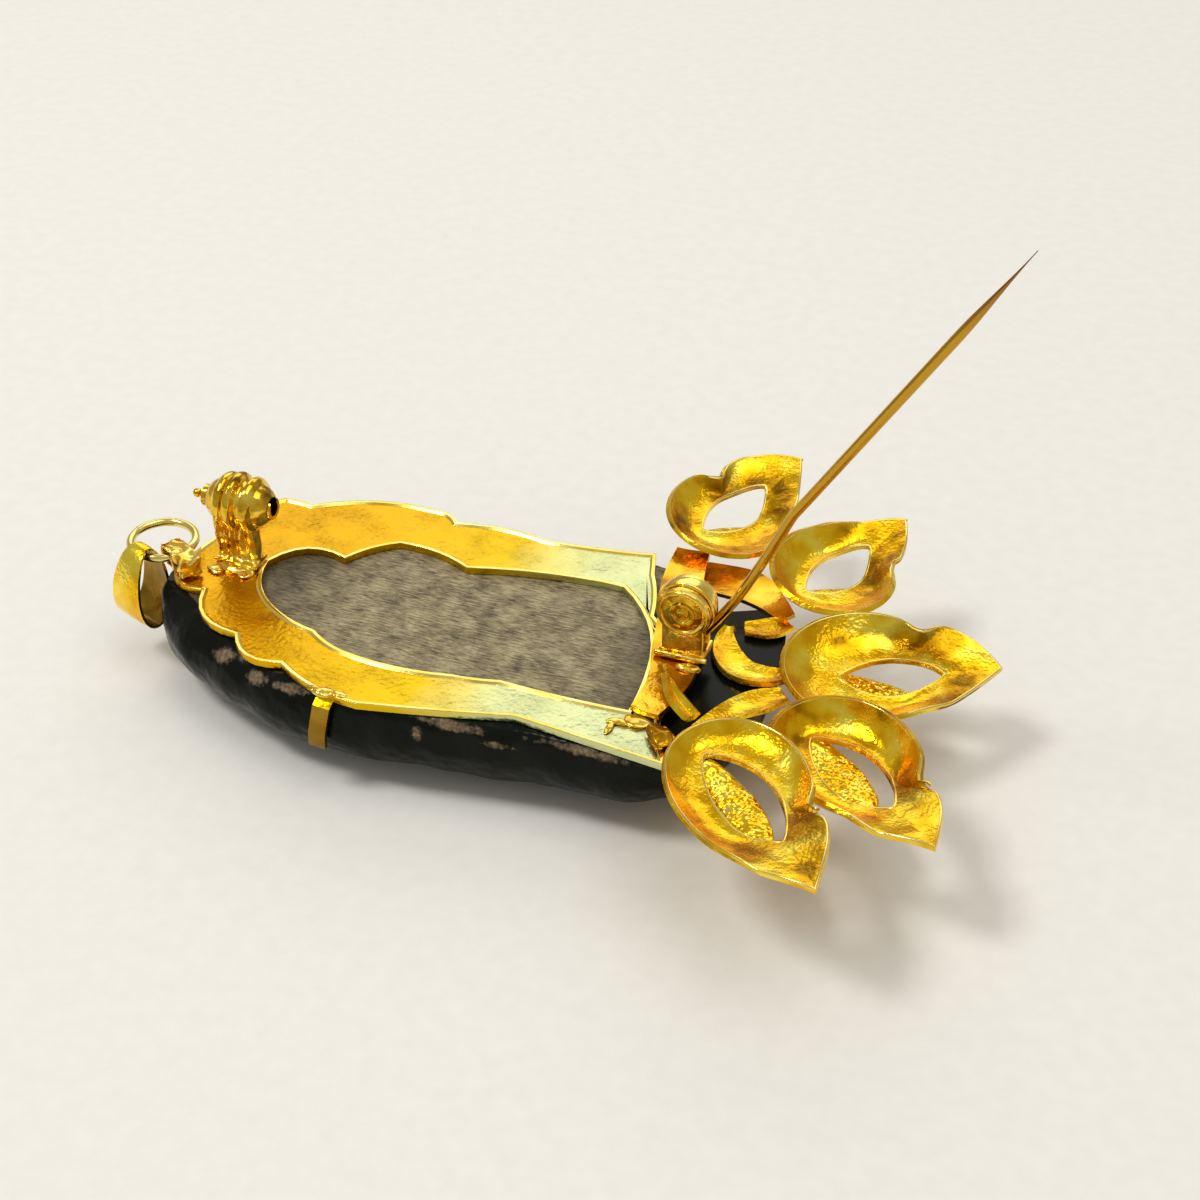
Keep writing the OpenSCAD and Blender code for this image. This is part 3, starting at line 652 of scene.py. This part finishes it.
for letter in LEAVES:
    leaf = begin(bpy.ops.mesh.primitive_circle_add, f"gold_leaf_{letter}", vertices=AROUND, radius=1.0)
    only(leaf, "EDIT")
    bpy.ops.mesh.select_all(action="SELECT")
    for ring in range(1, RINGS):
        bpy.ops.mesh.extrude_edges_move()
        shrink = washer_radius(ring) / washer_radius(ring - 1)
        bpy.ops.transform.resize(value=(shrink, shrink, 1), center_override=(0, 0, 0))
    press(leaf, leaf_form(letter))
    outward(leaf)
    upward(leaf)
    fit_modifier(leaf, "SOLIDIFY", thickness=SHEET * MM, offset=1.0)
    crease_edges(leaf)
    fit_modifier(leaf, "SUBSURF", levels=1, render_levels=1)
    done(leaf, "brooch", leaf_gold, f"leaf_{letter}", angle=50)

# %% [markdown]
# ### Rolled rims
# The rim of each leaf and of its slot was rolled and buffed, and its paler gold is a painted
# highlight. A thin torus is the blank of each, and every vertex keeps its place round the rim's own line.

# %% Roll the rims
RIM_R = 0.12
BLANK_R = 0.1    # the wire of a torus that has a radius of 1
RIM_LINES = (0.974, 0.03)    # across the leaf, from its slot at 0 to its edge at 1


def rim_form(letter, across):
    leaf = leaf_form(letter)

    def on_leaf(angle, where):
        return Vector(leaf(Vector((math.cos(angle), math.sin(angle), 0)) * (HOLE + (1 - HOLE) * where)))

    def form(co):
        angle = math.atan2(co.y, co.x)
        middle, inner = on_leaf(angle, across), on_leaf(angle, across - 0.04)
        run = (on_leaf(angle + 0.01, across) - on_leaf(angle - 0.01, across)).normalized()
        out = middle - inner
        out = (out - run * out.dot(run)).normalized()
        up = run.cross(out) if run.cross(out).z > 0 else out.cross(run)
        return middle + (out * (co.xy.length - 1.0) + up * co.z) * RIM_R / BLANK_R + up * SHEET * 0.75
    return form


rims = []
for letter in LEAVES:
    for across in RIM_LINES:
        rim = begin(bpy.ops.mesh.primitive_torus_add, "leaf_rim", major_segments=176, minor_segments=10,
                    major_radius=1.0, minor_radius=BLANK_R)
        press(rim, rim_form(letter, across))
        outward(rim)
        rims.append(rim)
# Painted highlight: the rolled rims are paler gold.
done(join(rims, "leaf_rims"), "brooch", pale_highlight_gold, angle=60)

# %% [markdown]
# ## Stippled tongues
# The gold that was cut to open each slot is bent down as a tongue and stippled. Each is a grid,
# narrowed to an almond, crowned a little, and thickened. It starts under the leaf and sinks from
# there, so that the slot shows it below its edge.

# %% Bend the tongues
TONGUES = {
    # each tongue's start, length, width, shift, depth and slant
    "a": (2.6, 5.6, 2.6, 0.2, 1.5, -2.4), "b": (2.4, 5.6, 2.6, 0.2, 1.5, -2.4),
    "c": (2.4, 8.4, 3.2, -0.2, 1.3, -2.4), "d": (1.5, 8.2, 3.1, 0.0, 0.45, -0.3),
    "e": (2.4, 8.1, 2.6, -0.4, 0.45, 0.0)}
TONGUE_SHEET, ROOT_W, CROWN, ROOT_Z = 0.3, 0.6, 0.13, 0.10


def tongue_form(letter):
    x, y, z, heading, length, _, rise, roll, turn, _ = LEAVES[letter]
    start, tongue_l, tongue_w, shift, depth, slant = TONGUES[letter]
    place = leaf_place(x, y, z, heading, rise, roll)

    def form(co):
        s, across = co.x + 0.5, co.y * 2
        along = start + s * tongue_l
        almond = math.sin(math.pi * min(1.0, 0.94 * s + 0.03)) ** 0.7
        half = (ROOT_W + (tongue_w - ROOT_W) * almond) / 2 * (1 - 0.6 * ease(0.9, 1.0, s))
        sink = ROOT_Z - (depth + ROOT_Z) * ease(0.04, 0.36, s)
        middle = shift + slant * (s - 0.5) + turn * (along / length) ** 2
        return place @ Vector((along, middle + across * half * 0.98, sink + 0.01 + CROWN * (1 - across ** 2)))
    return form


for letter in TONGUES:
    tongue = begin(bpy.ops.mesh.primitive_grid_add, f"stippled_tongue_{letter}",
                   x_subdivisions=24, y_subdivisions=8, size=1.0)
    press(tongue, tongue_form(letter))
    outward(tongue)
    upward(tongue)
    fit_modifier(tongue, "SOLIDIFY", thickness=TONGUE_SHEET * MM, offset=1.0)
    fit_modifier(tongue, "SUBSURF", levels=1, render_levels=1)
    done(tongue, "brooch", stippled_gold, f"leaf_heart_{letter}", angle=60)

# %% [markdown]
# ## Soldered strips
# Narrow strips of sheet are bent into curves and soldered across the back: the bridge under the
# hinge, the stems of the leaves, and the upper tendril. Each follows a smooth path through a few
# points and is a little hollow across, as a strip is that was bent round pliers.

# %% Strip paths
STEM_Z, BRIDGE_Z, HORN_Z = 7.27, 7.9, 8.6    # heights of the undersides
STRIPS = {
    # node it stands for, finish, height, thickness, how hollow it is, then along it x, y and width
    "bridge_strip": ("bridge_strip", strip_gold, BRIDGE_Z, 0.6, 0.3,
                     [(8.5, 7.9, 2.8), (9.1, 3.4, 3.4), (10.4, -0.4, 3.8), (11.2, -4.0, 3.8),
                      (12.0, -8.0, 3.3), (11.5, -12.0, 2.4)]),
    "stem_upper": ("stem_upper", strip_gold, STEM_Z, 0.5, 0.4,
                   [(8.6, 5.8, 3.6), (11.5, 5.9, 4.0), (13.7, 5.7, 4.0), (15.9, 4.3, 2.6),
                    (17.4, 2.9, 1.8)]),
    "stem_stub": ("stem_upper", leaf_gold, STEM_Z, 0.55, 0.6,
                  [(14.9, 0.6, 1.6), (16.6, 1.2, 2.4), (17.8, 2.4, 1.8)]),
    "stem_hook": ("stem_hook", leaf_gold, STEM_Z, 0.7, 0.6,
                  [(13.8, 0.3, 1.2), (14.0, -1.3, 1.9), (14.8, -3.1, 2.5), (16.2, -4.4, 2.6),
                   (17.9, -4.5, 2.3), (19.3, -3.9, 1.7)]),
    "stem_lower": ("stem_lower", leaf_gold, STEM_Z, 0.6, 0.6,
                   [(19.9, -6.0, 1.8), (18.3, -7.4, 2.6), (16.8, -9.2, 2.2), (15.6, -12.0, 2.0)]),
    "tendril_horn": ("tendril_horn", leaf_gold, HORN_Z, 0.9, 0.8,
                     [(11.2, -7.4, 0.4), (12.2, -9.1, 1.0), (13.4, -10.7, 1.6), (15.0, -12.2, 1.6)])}

# %% [markdown]
# ### Lay the strips
# A grid is the blank of each strip. Its long way follows a Catmull-Rom curve through the path's
# points, its short way lies across the curve, and its edges stand up. It is thickened, creased at
# its cut edges, and rounded by one subdivision.

# %% Lay the strips
def smooth_point(rows, t):
    """A point on the smooth curve through the rows, with t from 0 to 1."""
    span = t * (len(rows) - 1)
    i = min(int(span), len(rows) - 2)
    u = span - i
    a, b, c, d = (rows[min(max(i + j, 0), len(rows) - 1)] for j in (-1, 0, 1, 2))
    return [(2 * q + (r - p) * u + (2 * p - 5 * q + 4 * r - s) * u * u + (3 * q - p - 3 * r + s) * u ** 3) / 2
            for p, q, r, s in zip(a, b, c, d)]


def strip_form(height, thick, hollow, rows):
    def form(co):
        t, across = co.x + 0.5, co.y * 2
        x, y, width = smooth_point(rows, t)
        before, after = smooth_point(rows, max(0.0, t - 0.02)), smooth_point(rows, min(1.0, t + 0.02))
        run = Vector((after[0] - before[0], after[1] - before[1])).normalized()
        half = (width / 2 - 0.06) * across
        up = thick * 0.55 * across ** 2 * hollow
        return Vector((x - run.y * half, y + run.x * half, height + 0.04 + up)) - PLAN_MID
    return form


for name, (node, finish, height, thick, hollow, rows) in STRIPS.items():
    strip = begin(bpy.ops.mesh.primitive_grid_add, name + "_gold", size=1.0,
                  x_subdivisions=36, y_subdivisions=6)
    press(strip, strip_form(height, thick, hollow, rows))
    outward(strip)
    upward(strip)
    fit_modifier(strip, "SOLIDIFY", thickness=(thick - 0.1) * (1 - 0.5 * hollow) * MM, offset=1.0)
    crease_edges(strip, amount=0.6)
    fit_modifier(strip, "SUBSURF", levels=1, render_levels=1)
    done(strip, "brooch", finish, node, angle=60)

# %% [markdown]
# ## The lower tendril and the tab
# Both are thick pieces that were folded hot and never trued: the tendril that holds the stone's
# broad end, and the strip folded at the narrow end with a hole for the ring. Their measured solids
# are melted into one skin of small squares, smoothed, and dented unevenly.

# %% Fold the tendril and the tab
DENTS = 1100.0    # to the metre


def soften(piece, square, passes, dent):
    fit_modifier(piece, "REMESH", mode="VOXEL", voxel_size=square * MM)
    fit_modifier(piece, "SMOOTH", factor=0.5, iterations=passes)
    swell(piece, lambda co: (noise.noise(co * DENTS) - 0.35) * dent)


foot = cad_copy("tendril_foot", "tendril_foot_gold")
soften(foot, square=0.08, passes=10, dent=0.3)
done(foot, "brooch", strip_gold, "tendril_foot", angle=60)

tab = cad_copy("tip_tab", "folded_tab")
soften(tab, square=0.09, passes=8, dent=0.3)
done(tab, "brooch", hinge_gold, "tip_tab", angle=60)

# %% [markdown]
# ## Jump ring
# A round wire is coiled, cut and closed with solder. The seam, at the ring's left, was filed a little
# thinner than the wire, so a few rings of the torus are drawn in there.

# %% Jump ring
RING_MID = Vector((-30.4, -5.45, 8.55)) - PLAN_MID
RING_R, RING_WIRE_R = 2.5, 0.33
SEAM_REACH, SEAM_THIN = 0.5, 0.94

ring = begin(bpy.ops.mesh.primitive_torus_add, "jump_ring_wire", location=RING_MID * MM, major_segments=96,
             minor_segments=20, major_radius=RING_R * MM, minor_radius=RING_WIRE_R * MM)
seam = RING_MID * MM + Vector((-RING_R * MM, 0, 0))
pick(ring, lambda v: (v.co - seam).length < SEAM_REACH * MM, "verts")
bpy.ops.transform.resize(value=(SEAM_THIN, 1, SEAM_THIN), center_override=seam)
done(ring, "brooch", ring_gold, "jump_ring", angle=80)

# %% [markdown]
# ## Bail
# The bail is a tapering band bent to a loop, which hangs on the ring and lies aslant. An open tube
# is its blank: the way round it becomes the loop, and its length the width of the band. The band is
# polished outside, darkened inside its loop with painted shade, and paler on its edges with a
# painted highlight.

# %% Bail
BAIL_L, BAIL_W, BAIL_TOP_W, BAIL_TURN = 5.6, 3.7, 1.3, math.radians(-100)
BAIL_SHEET = 0.24
BAIL_DOWN, BAIL_THROUGH = Vector((-0.06, -0.25, -0.966)), Vector((0.93, -0.36, 0.0))
BAIL_FLANK = BAIL_DOWN.cross(BAIL_THROUGH)
BAIL_HANG = RING_MID + Vector((math.cos(BAIL_TURN), math.sin(BAIL_TURN), 0)) * RING_R
BAIL_OVER = RING_WIRE_R + 0.33    # how far the band's top stands over the wire's middle


def bail_form(co):
    angle = math.atan2(co.y, -co.x)
    share = (1 - math.cos(angle)) / 2
    wide = BAIL_TOP_W + (BAIL_W - BAIL_TOP_W) * share ** 0.5
    across = co.z * 2
    flank = math.sin(angle) * (1.15 + 0.35 * share)
    crown = 0.08 * (1 - across ** 2)
    radial = BAIL_FLANK * math.sin(angle) - BAIL_DOWN * math.cos(angle)
    return (BAIL_HANG + BAIL_DOWN * (BAIL_L * share - BAIL_OVER) + BAIL_FLANK * flank
            + BAIL_THROUGH * (across * wide / 2 + 0.45 * share) + radial * crown)


def faces_inward(face):
    inward = face.center - (BAIL_HANG + BAIL_DOWN * BAIL_L / 2) * MM
    inward -= BAIL_THROUGH * inward.dot(BAIL_THROUGH)
    return face.normal.dot(inward) < 0


bail = begin(bpy.ops.mesh.primitive_cylinder_add, "bail_band", vertices=56, radius=1.0, depth=1.0,
             end_fill_type="NOTHING")
pick(bail, lambda e: abs(e.verts[0].co.z - e.verts[1].co.z) > 0.5, "edges")
bpy.ops.mesh.subdivide(number_cuts=7)
press(bail, bail_form)
outward(bail)
fit_modifier(bail, "SOLIDIFY", thickness=BAIL_SHEET * MM, offset=1.0)
crease_edges(bail)
fit_modifier(bail, "SUBSURF", levels=1, render_levels=1)
done(bail, "brooch", leaf_gold, "bail", angle=60)
# Painted shade: the inside of the bail's loop is dark brown gold.
one_more_finish(bail, shade_dark_gold, faces_inward)
# Painted highlight: the bail's edges are paler gold.
one_more_finish(bail, pale_highlight_gold, lambda f: abs(f.normal.dot(BAIL_THROUGH)) > 0.7)

# %% [markdown]
# ## The round catch
# The catch is turned on a lathe: a ball with three raised rings and a deep groove before the last.
# A sphere stands in for the bar in the lathe, and each of its rings is brought to the turned
# radius. A bore through it holds the lock, and a slot down from the top lets the pin in.

# %% Turn the ball
CATCH = Vector((-23.6, -4.45, 13.0)) - PLAN_MID
HALF, BALL_R = 2.9, 2.05
RAISED_AT = (-1.18, -0.25, 1.23)
MOUTH, BORE_R = 0.84, 0.9
THROUGH = 9    # a cutter's length, more than the ball's


def turned_radius(x):
    """A dome at each end, three raised rings, and a deep groove before the last ring."""
    dome = BALL_R * max(0.0, 1 - (x / HALF) ** 2) ** 0.42
    groove = 0.3 * math.exp(-((x - 0.5) / 0.32) ** 4)
    return dome - groove + max(0.3 * math.sqrt(max(0.0, 1 - ((x - mid) / 0.43) ** 2)) for mid in RAISED_AT)


def ball_form(co):
    x = -math.atan2(co.z, co.xy.length) / (math.pi / 2) * HALF
    radius = turned_radius(max(-HALF, min(HALF, x))) - 0.03
    around = co.xy.normalized() if co.xy.length > 1e-6 else Vector((0, 0))
    return CATCH + Vector((x * 0.985, around.x * radius, around.y * radius))


def cut(piece, tool):
    fit_modifier(piece, "BOOLEAN", operation="DIFFERENCE", object=tool, solver="EXACT")
    bpy.data.objects.remove(tool, do_unlink=True)


def is_mouth_wall(face):
    return abs(face.normal.y) > 0.99 and abs(abs(face.center.y - CATCH.y * MM) - MOUTH / 2 * MM) < 1e-5


ball = begin(bpy.ops.mesh.primitive_uv_sphere_add, "catch_ball", segments=96, ring_count=112, radius=1.0)
press(ball, ball_form)
outward(ball)
cut(ball, begin(bpy.ops.mesh.primitive_cylinder_add, "bore", vertices=48, radius=BORE_R * MM,
                depth=THROUGH * MM, location=CATCH * MM, rotation=(0, math.pi / 2, 0)))
cut(ball, begin(bpy.ops.mesh.primitive_cube_add, "mouth", size=1.0, location=(CATCH + Vector((0, 0, 2))) * MM,
                scale=(THROUGH * MM, MOUTH * MM, 4 * MM)))
done(ball, "brooch", catch_gold, "catch_body", angle=40)
one_more_finish(ball, scraped_gold, is_mouth_wall)

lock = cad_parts["catch_lock"]
lock.data.materials.clear()
lock.data.materials.append(catch_gold)

# %% [markdown]
# ### Post of the catch
# The ball is soldered to a short post, bent from sheet in four flutes that widen upwards, on a flat
# foot. Cones and a block are melted together, so that the joints run into each other as solder does.

# %% Fluted post
POST_X, POST_Y, POST_Z = CATCH.x - 0.4, CATCH.y - 0.35, 7.85
FLUTE_PITCH, FLUTE_R, FLUTE_TOP_R = 0.85, 0.54, 0.70
POST_HIGH = CATCH.z - 1.55 - POST_Z
FOOT_SIZE = Vector((3.7, 2.0, 0.4))

flutes = []
for i in (-1.5, -0.5, 0.5, 1.5):
    middle = Vector((POST_X + i * FLUTE_PITCH, POST_Y, POST_Z + POST_HIGH / 2))
    flutes.append(begin(bpy.ops.mesh.primitive_cone_add, "flute", vertices=32, radius1=FLUTE_R * MM,
                        radius2=FLUTE_TOP_R * MM, depth=POST_HIGH * MM, location=middle * MM))
base = begin(bpy.ops.mesh.primitive_cube_add, "post_base", size=1.0, scale=FOOT_SIZE * MM,
             location=Vector((POST_X, POST_Y, POST_Z + FOOT_SIZE.z / 2)) * MM)
post = join([base] + flutes, "catch_post")
soften(post, square=0.08, passes=3, dent=0.12)
done(post, "brooch", hinge_gold, "catch_body", angle=60)

# %% [markdown]
# ## Hinge
# Two round cheeks stand on a folded base, with the pin's head between them. They were cast in one
# piece, so their edges are rounder than those of the sheet, and a wide bevel gives that.

# %% Hinge cheeks
hinge = cad_copy("hinge_knuckle", "hinge_cheeks")
only(hinge, "EDIT")
bpy.ops.mesh.select_all(action="SELECT")
bpy.ops.mesh.dissolve_limited(angle_limit=math.radians(1))
fit_modifier(hinge, "BEVEL", width=0.12 * MM, segments=3, limit_method="ANGLE", angle_limit=math.radians(40))
done(hinge, "brooch", hinge_gold, "hinge_knuckle", angle=40)

# %% [markdown]
# ### Rivet
# A bar through both cheeks was spread at each end, and its near end was closed with a cupped punch,
# which leaves a ring round a dimple and a small dome. Extrusions spread the ends, and insets with
# depth make the dimple and the dome.

# %% Rivet
HUB = Vector((12.0, -4.45, 12.4)) - PLAN_MID
ACROSS = (math.pi / 2, 0, 0)    # turns a cylinder or torus from upright to lie across the hinge
RIVET_R, RIVET_L, SPREAD = 0.5, 2.14, 1.9
HEAD_STEP, HEAD_THICK, HEAD_RIM = 0.02, 0.22, 0.30
DIMPLE = [(0.08, -0.14), (0.12, 0.0), (0.14, 0.16)]    # width and depth of each inset

rivet = begin(bpy.ops.mesh.primitive_cylinder_add, "hinge_rivet_head", vertices=48, radius=RIVET_R * MM,
              depth=RIVET_L * MM, location=HUB * MM, rotation=ACROSS)
for way in (-1, 1):
    pick(rivet, lambda f: f.normal.y * way > 0.9)
    bpy.ops.mesh.extrude_region_move(TRANSFORM_OT_translate={"value": (0, way * HEAD_STEP * MM, 0)})
    bpy.ops.transform.resize(value=(SPREAD, 1, SPREAD), center_override=HUB * MM)
    bpy.ops.mesh.extrude_region_move(TRANSFORM_OT_translate={"value": (0, way * HEAD_THICK * MM, 0)})
    bpy.ops.mesh.inset(thickness=HEAD_RIM * MM, depth=0)
    if way < 0:
        for wide, deep in DIMPLE:
            bpy.ops.mesh.inset(thickness=wide * MM, depth=deep * MM)
fit_modifier(rivet, "BEVEL", width=0.05 * MM, segments=3, limit_method="ANGLE", angle_limit=math.radians(25))
done(rivet, "brooch", catch_gold, "hinge_rivet", angle=50)

# %% [markdown]
# ### Raised ring and fold
# The near cheek has a raised ring near its edge, and the base's sheet is folded over below it. A
# torus and a short rounded bar lie on the cheek and its foot, and are joined to one piece.

# %% Raised ring and folded base of the hinge
raised = begin(bpy.ops.mesh.primitive_torus_add, "cheek_ring", location=(HUB + Vector((0, -1.0, 0))) * MM,
               rotation=ACROSS, major_segments=72, minor_segments=14,
               major_radius=1.66 * MM, minor_radius=0.22 * MM)
fold = begin(bpy.ops.mesh.primitive_cylinder_add, "fold", vertices=24, radius=0.24 * MM, depth=3.9 * MM,
             location=(HUB + Vector((0, -1.28, 8.74 - HUB.z))) * MM, rotation=(0, math.pi / 2, 0))
fit_modifier(fold, "BEVEL", width=0.1 * MM, segments=3, limit_method="ANGLE", angle_limit=math.radians(40))
done(join([raised, fold], "cheek_ring"), "brooch", hinge_gold, angle=60)

# %% [markdown]
# ## Pin
# The pin is a springy wire: a shallow bend over its first third, then a straight run that is filed
# to a point over its last fifth. It is shaped as it lies when closed, along a thin subdivided
# cylinder, and then swung open about the rivet. Its head is a thick washer that turns on the rivet.

# %% Pin
PIN_OPEN = math.radians(123)
WIRE = [(0.8, 2.20), (-2.3, 2.25), (-5.9, 1.90), (-11.8, 1.00)]    # x and height from the hub
TIP = (-37.6, 0.55)
BEND = 0.35    # the share of the wire that has the bend
WIRE_R = 0.36
PIN_HEAD_R, PIN_HEAD_L, PIN_HOLE_R = 2.2, 1.0, 0.54


def wire_point(t):
    """Place and height along the closed pin, with t from 0 at the head to 1 at the tip."""
    if t < BEND:
        x, z = smooth_point(WIRE, t / BEND)
    else:
        u = (t - BEND) / (1 - BEND)
        x, z = WIRE[-1][0] + (TIP[0] - WIRE[-1][0]) * u, WIRE[-1][1] + (TIP[1] - WIRE[-1][1]) * u
    return Vector((x, 0, z))


def wire_form(co):
    t = co.z + 0.5
    radius = WIRE_R * (1 - ease(0.80, 1.0, t) * 0.92)
    run = (wire_point(min(1.0, t + 0.004)) - wire_point(max(0.0, t - 0.004))).normalized()
    out = Vector((-run.z, 0, run.x))
    closed = wire_point(t) + out * co.x * radius + Vector((0, co.y * radius, 0))
    return HUB + Matrix.Rotation(PIN_OPEN, 3, "Y") @ closed


pin = begin(bpy.ops.mesh.primitive_cylinder_add, "pin_wire", vertices=24, radius=1.0, depth=1.0)
pick(pin, lambda e: abs(e.verts[0].co.z - e.verts[1].co.z) > 0.5, "edges")
bpy.ops.mesh.subdivide(number_cuts=90)
press(pin, wire_form)
outward(pin)
done(pin, "pin", wire_gold, "pin_stem", angle=50)

head = begin(bpy.ops.mesh.primitive_cylinder_add, "pin_head", vertices=72, radius=PIN_HEAD_R * MM,
             depth=PIN_HEAD_L * MM, location=HUB * MM, rotation=ACROSS)
cut(head, begin(bpy.ops.mesh.primitive_cylinder_add, "rivet_hole", vertices=48, radius=PIN_HOLE_R * MM,
                depth=4 * MM, location=HUB * MM, rotation=ACROSS))
fit_modifier(head, "BEVEL", width=0.14 * MM, segments=3, limit_method="ANGLE", angle_limit=math.radians(40))
done(head, "pin", hinge_gold, "pin_stem", angle=40)

# %% [markdown]
# ## Solder
# Where pieces meet, the solder ran out in small flat lumps that nobody filed away. Each lump is a
# ball pressed flat and made uneven, and the lumps of the brooch are joined into one piece.

# %% Lumps of solder
SOLDER = [
    # x, y, z of the middle of a lump, then half its size along x, y and z
    (-10.6, -17.3, 7.84, 0.8, 0.5, 0.24), (-9.6, -17.1, 7.80, 0.6, 0.35, 0.14),
    (-11.5, -17.1, 7.80, 0.5, 0.3, 0.14), (11.2, -12.6, 7.80, 1.0, 0.7, 0.20),
    (10.0, -13.0, 7.78, 0.9, 0.34, 0.12), (9.6, -13.8, 7.78, 0.26, 0.7, 0.10),
    (-24.0, -5.9, 7.82, 1.5, 0.7, 0.30), (-25.2, -6.5, 7.80, 0.7, 0.6, 0.20),
    (-22.8, -6.2, 7.80, 0.6, 0.7, 0.20), (12.9, -6.5, 8.50, 0.9, 0.4, 0.26)]


def lump_form(x, y, z, long, wide, high):
    def form(co):
        uneven = 1 + 0.3 * noise.noise(co * 1.1 + Vector((x, y, z)))
        half = Vector((co.x * long, co.y * wide, co.z * high)) * uneven
        return Vector((x, y, z)) + half - PLAN_MID
    return form


lumps = []
for spot in SOLDER:
    lump = begin(bpy.ops.mesh.primitive_uv_sphere_add, "solder_lump", segments=28, ring_count=14, radius=1.0)
    press(lump, lump_form(*spot))
    lumps.append(lump)
done(join(lumps, "solder"), "brooch", hinge_gold, angle=60)

# %% [markdown]
# ## Floor
# The brooch lies on a plain, pale, matt paper, with a tooth that is only just visible. It belongs
# to the stage and not to the part.

# %% Paper
def floor_finish():
    finish, tree, shader, place = new_finish("pale_paper")
    tooth = add(tree, "TexNoise", links={0: place}, Scale=1000 / 1.5, Detail=3.0)
    paper = add(tree, "ValToRGB", links={0: tooth}, stops=[(0.3, "#EDEAE2"), (0.7, "#F1EEE6")])
    fill(tree, shader, {"Base Color": paper}, Roughness=0.9, Specular_IOR_Level=0.2)
    return finish


floor = begin(bpy.ops.mesh.primitive_plane_add, "floor", size=3.0)
floor.data.materials.append(floor_finish())

# %% [markdown]
# ## Light
# A soft key light from above left, a broad light overhead, a window behind, and a pale room.
# Polished gold shows what is round it, so the room is only half as bright as the paper: a brighter
# one would wash out the gold.

# %% Lights and room
ROOM = 0.48


def soft_light(name, place, aim, size, power):
    data = bpy.data.lights.new(name, "AREA")
    data.shape = "RECTANGLE"
    data.size, data.size_y = size
    data.energy = power
    light = bpy.data.objects.new(name, data)
    bpy.context.scene.collection.objects.link(light)
    light.location = place
    light.rotation_euler = (Vector(place) - Vector(aim)).to_track_quat("Z", "Y").to_euler()


soft_light("key", (-0.30, -0.16, 0.56), (0.02, 0.02, 0), (0.16, 0.16), 1.55)
soft_light("overhead", (0.22, 0.05, 0.80), (0.02, 0.02, 0), (0.6, 0.6), 1.65)
soft_light("window", (-0.18, 0.66, 0.50), (0, 0, 0), (0.8, 0.40), 1.15)
world = bpy.data.worlds.new("studio")
bpy.context.scene.world = world
world.use_nodes = True
world.node_tree.nodes["Background"].inputs[0].default_value = hexed("#F4F2EC")
world.node_tree.nodes["Background"].inputs[1].default_value = ROOM
bpy.context.scene.view_settings.view_transform = "Standard"
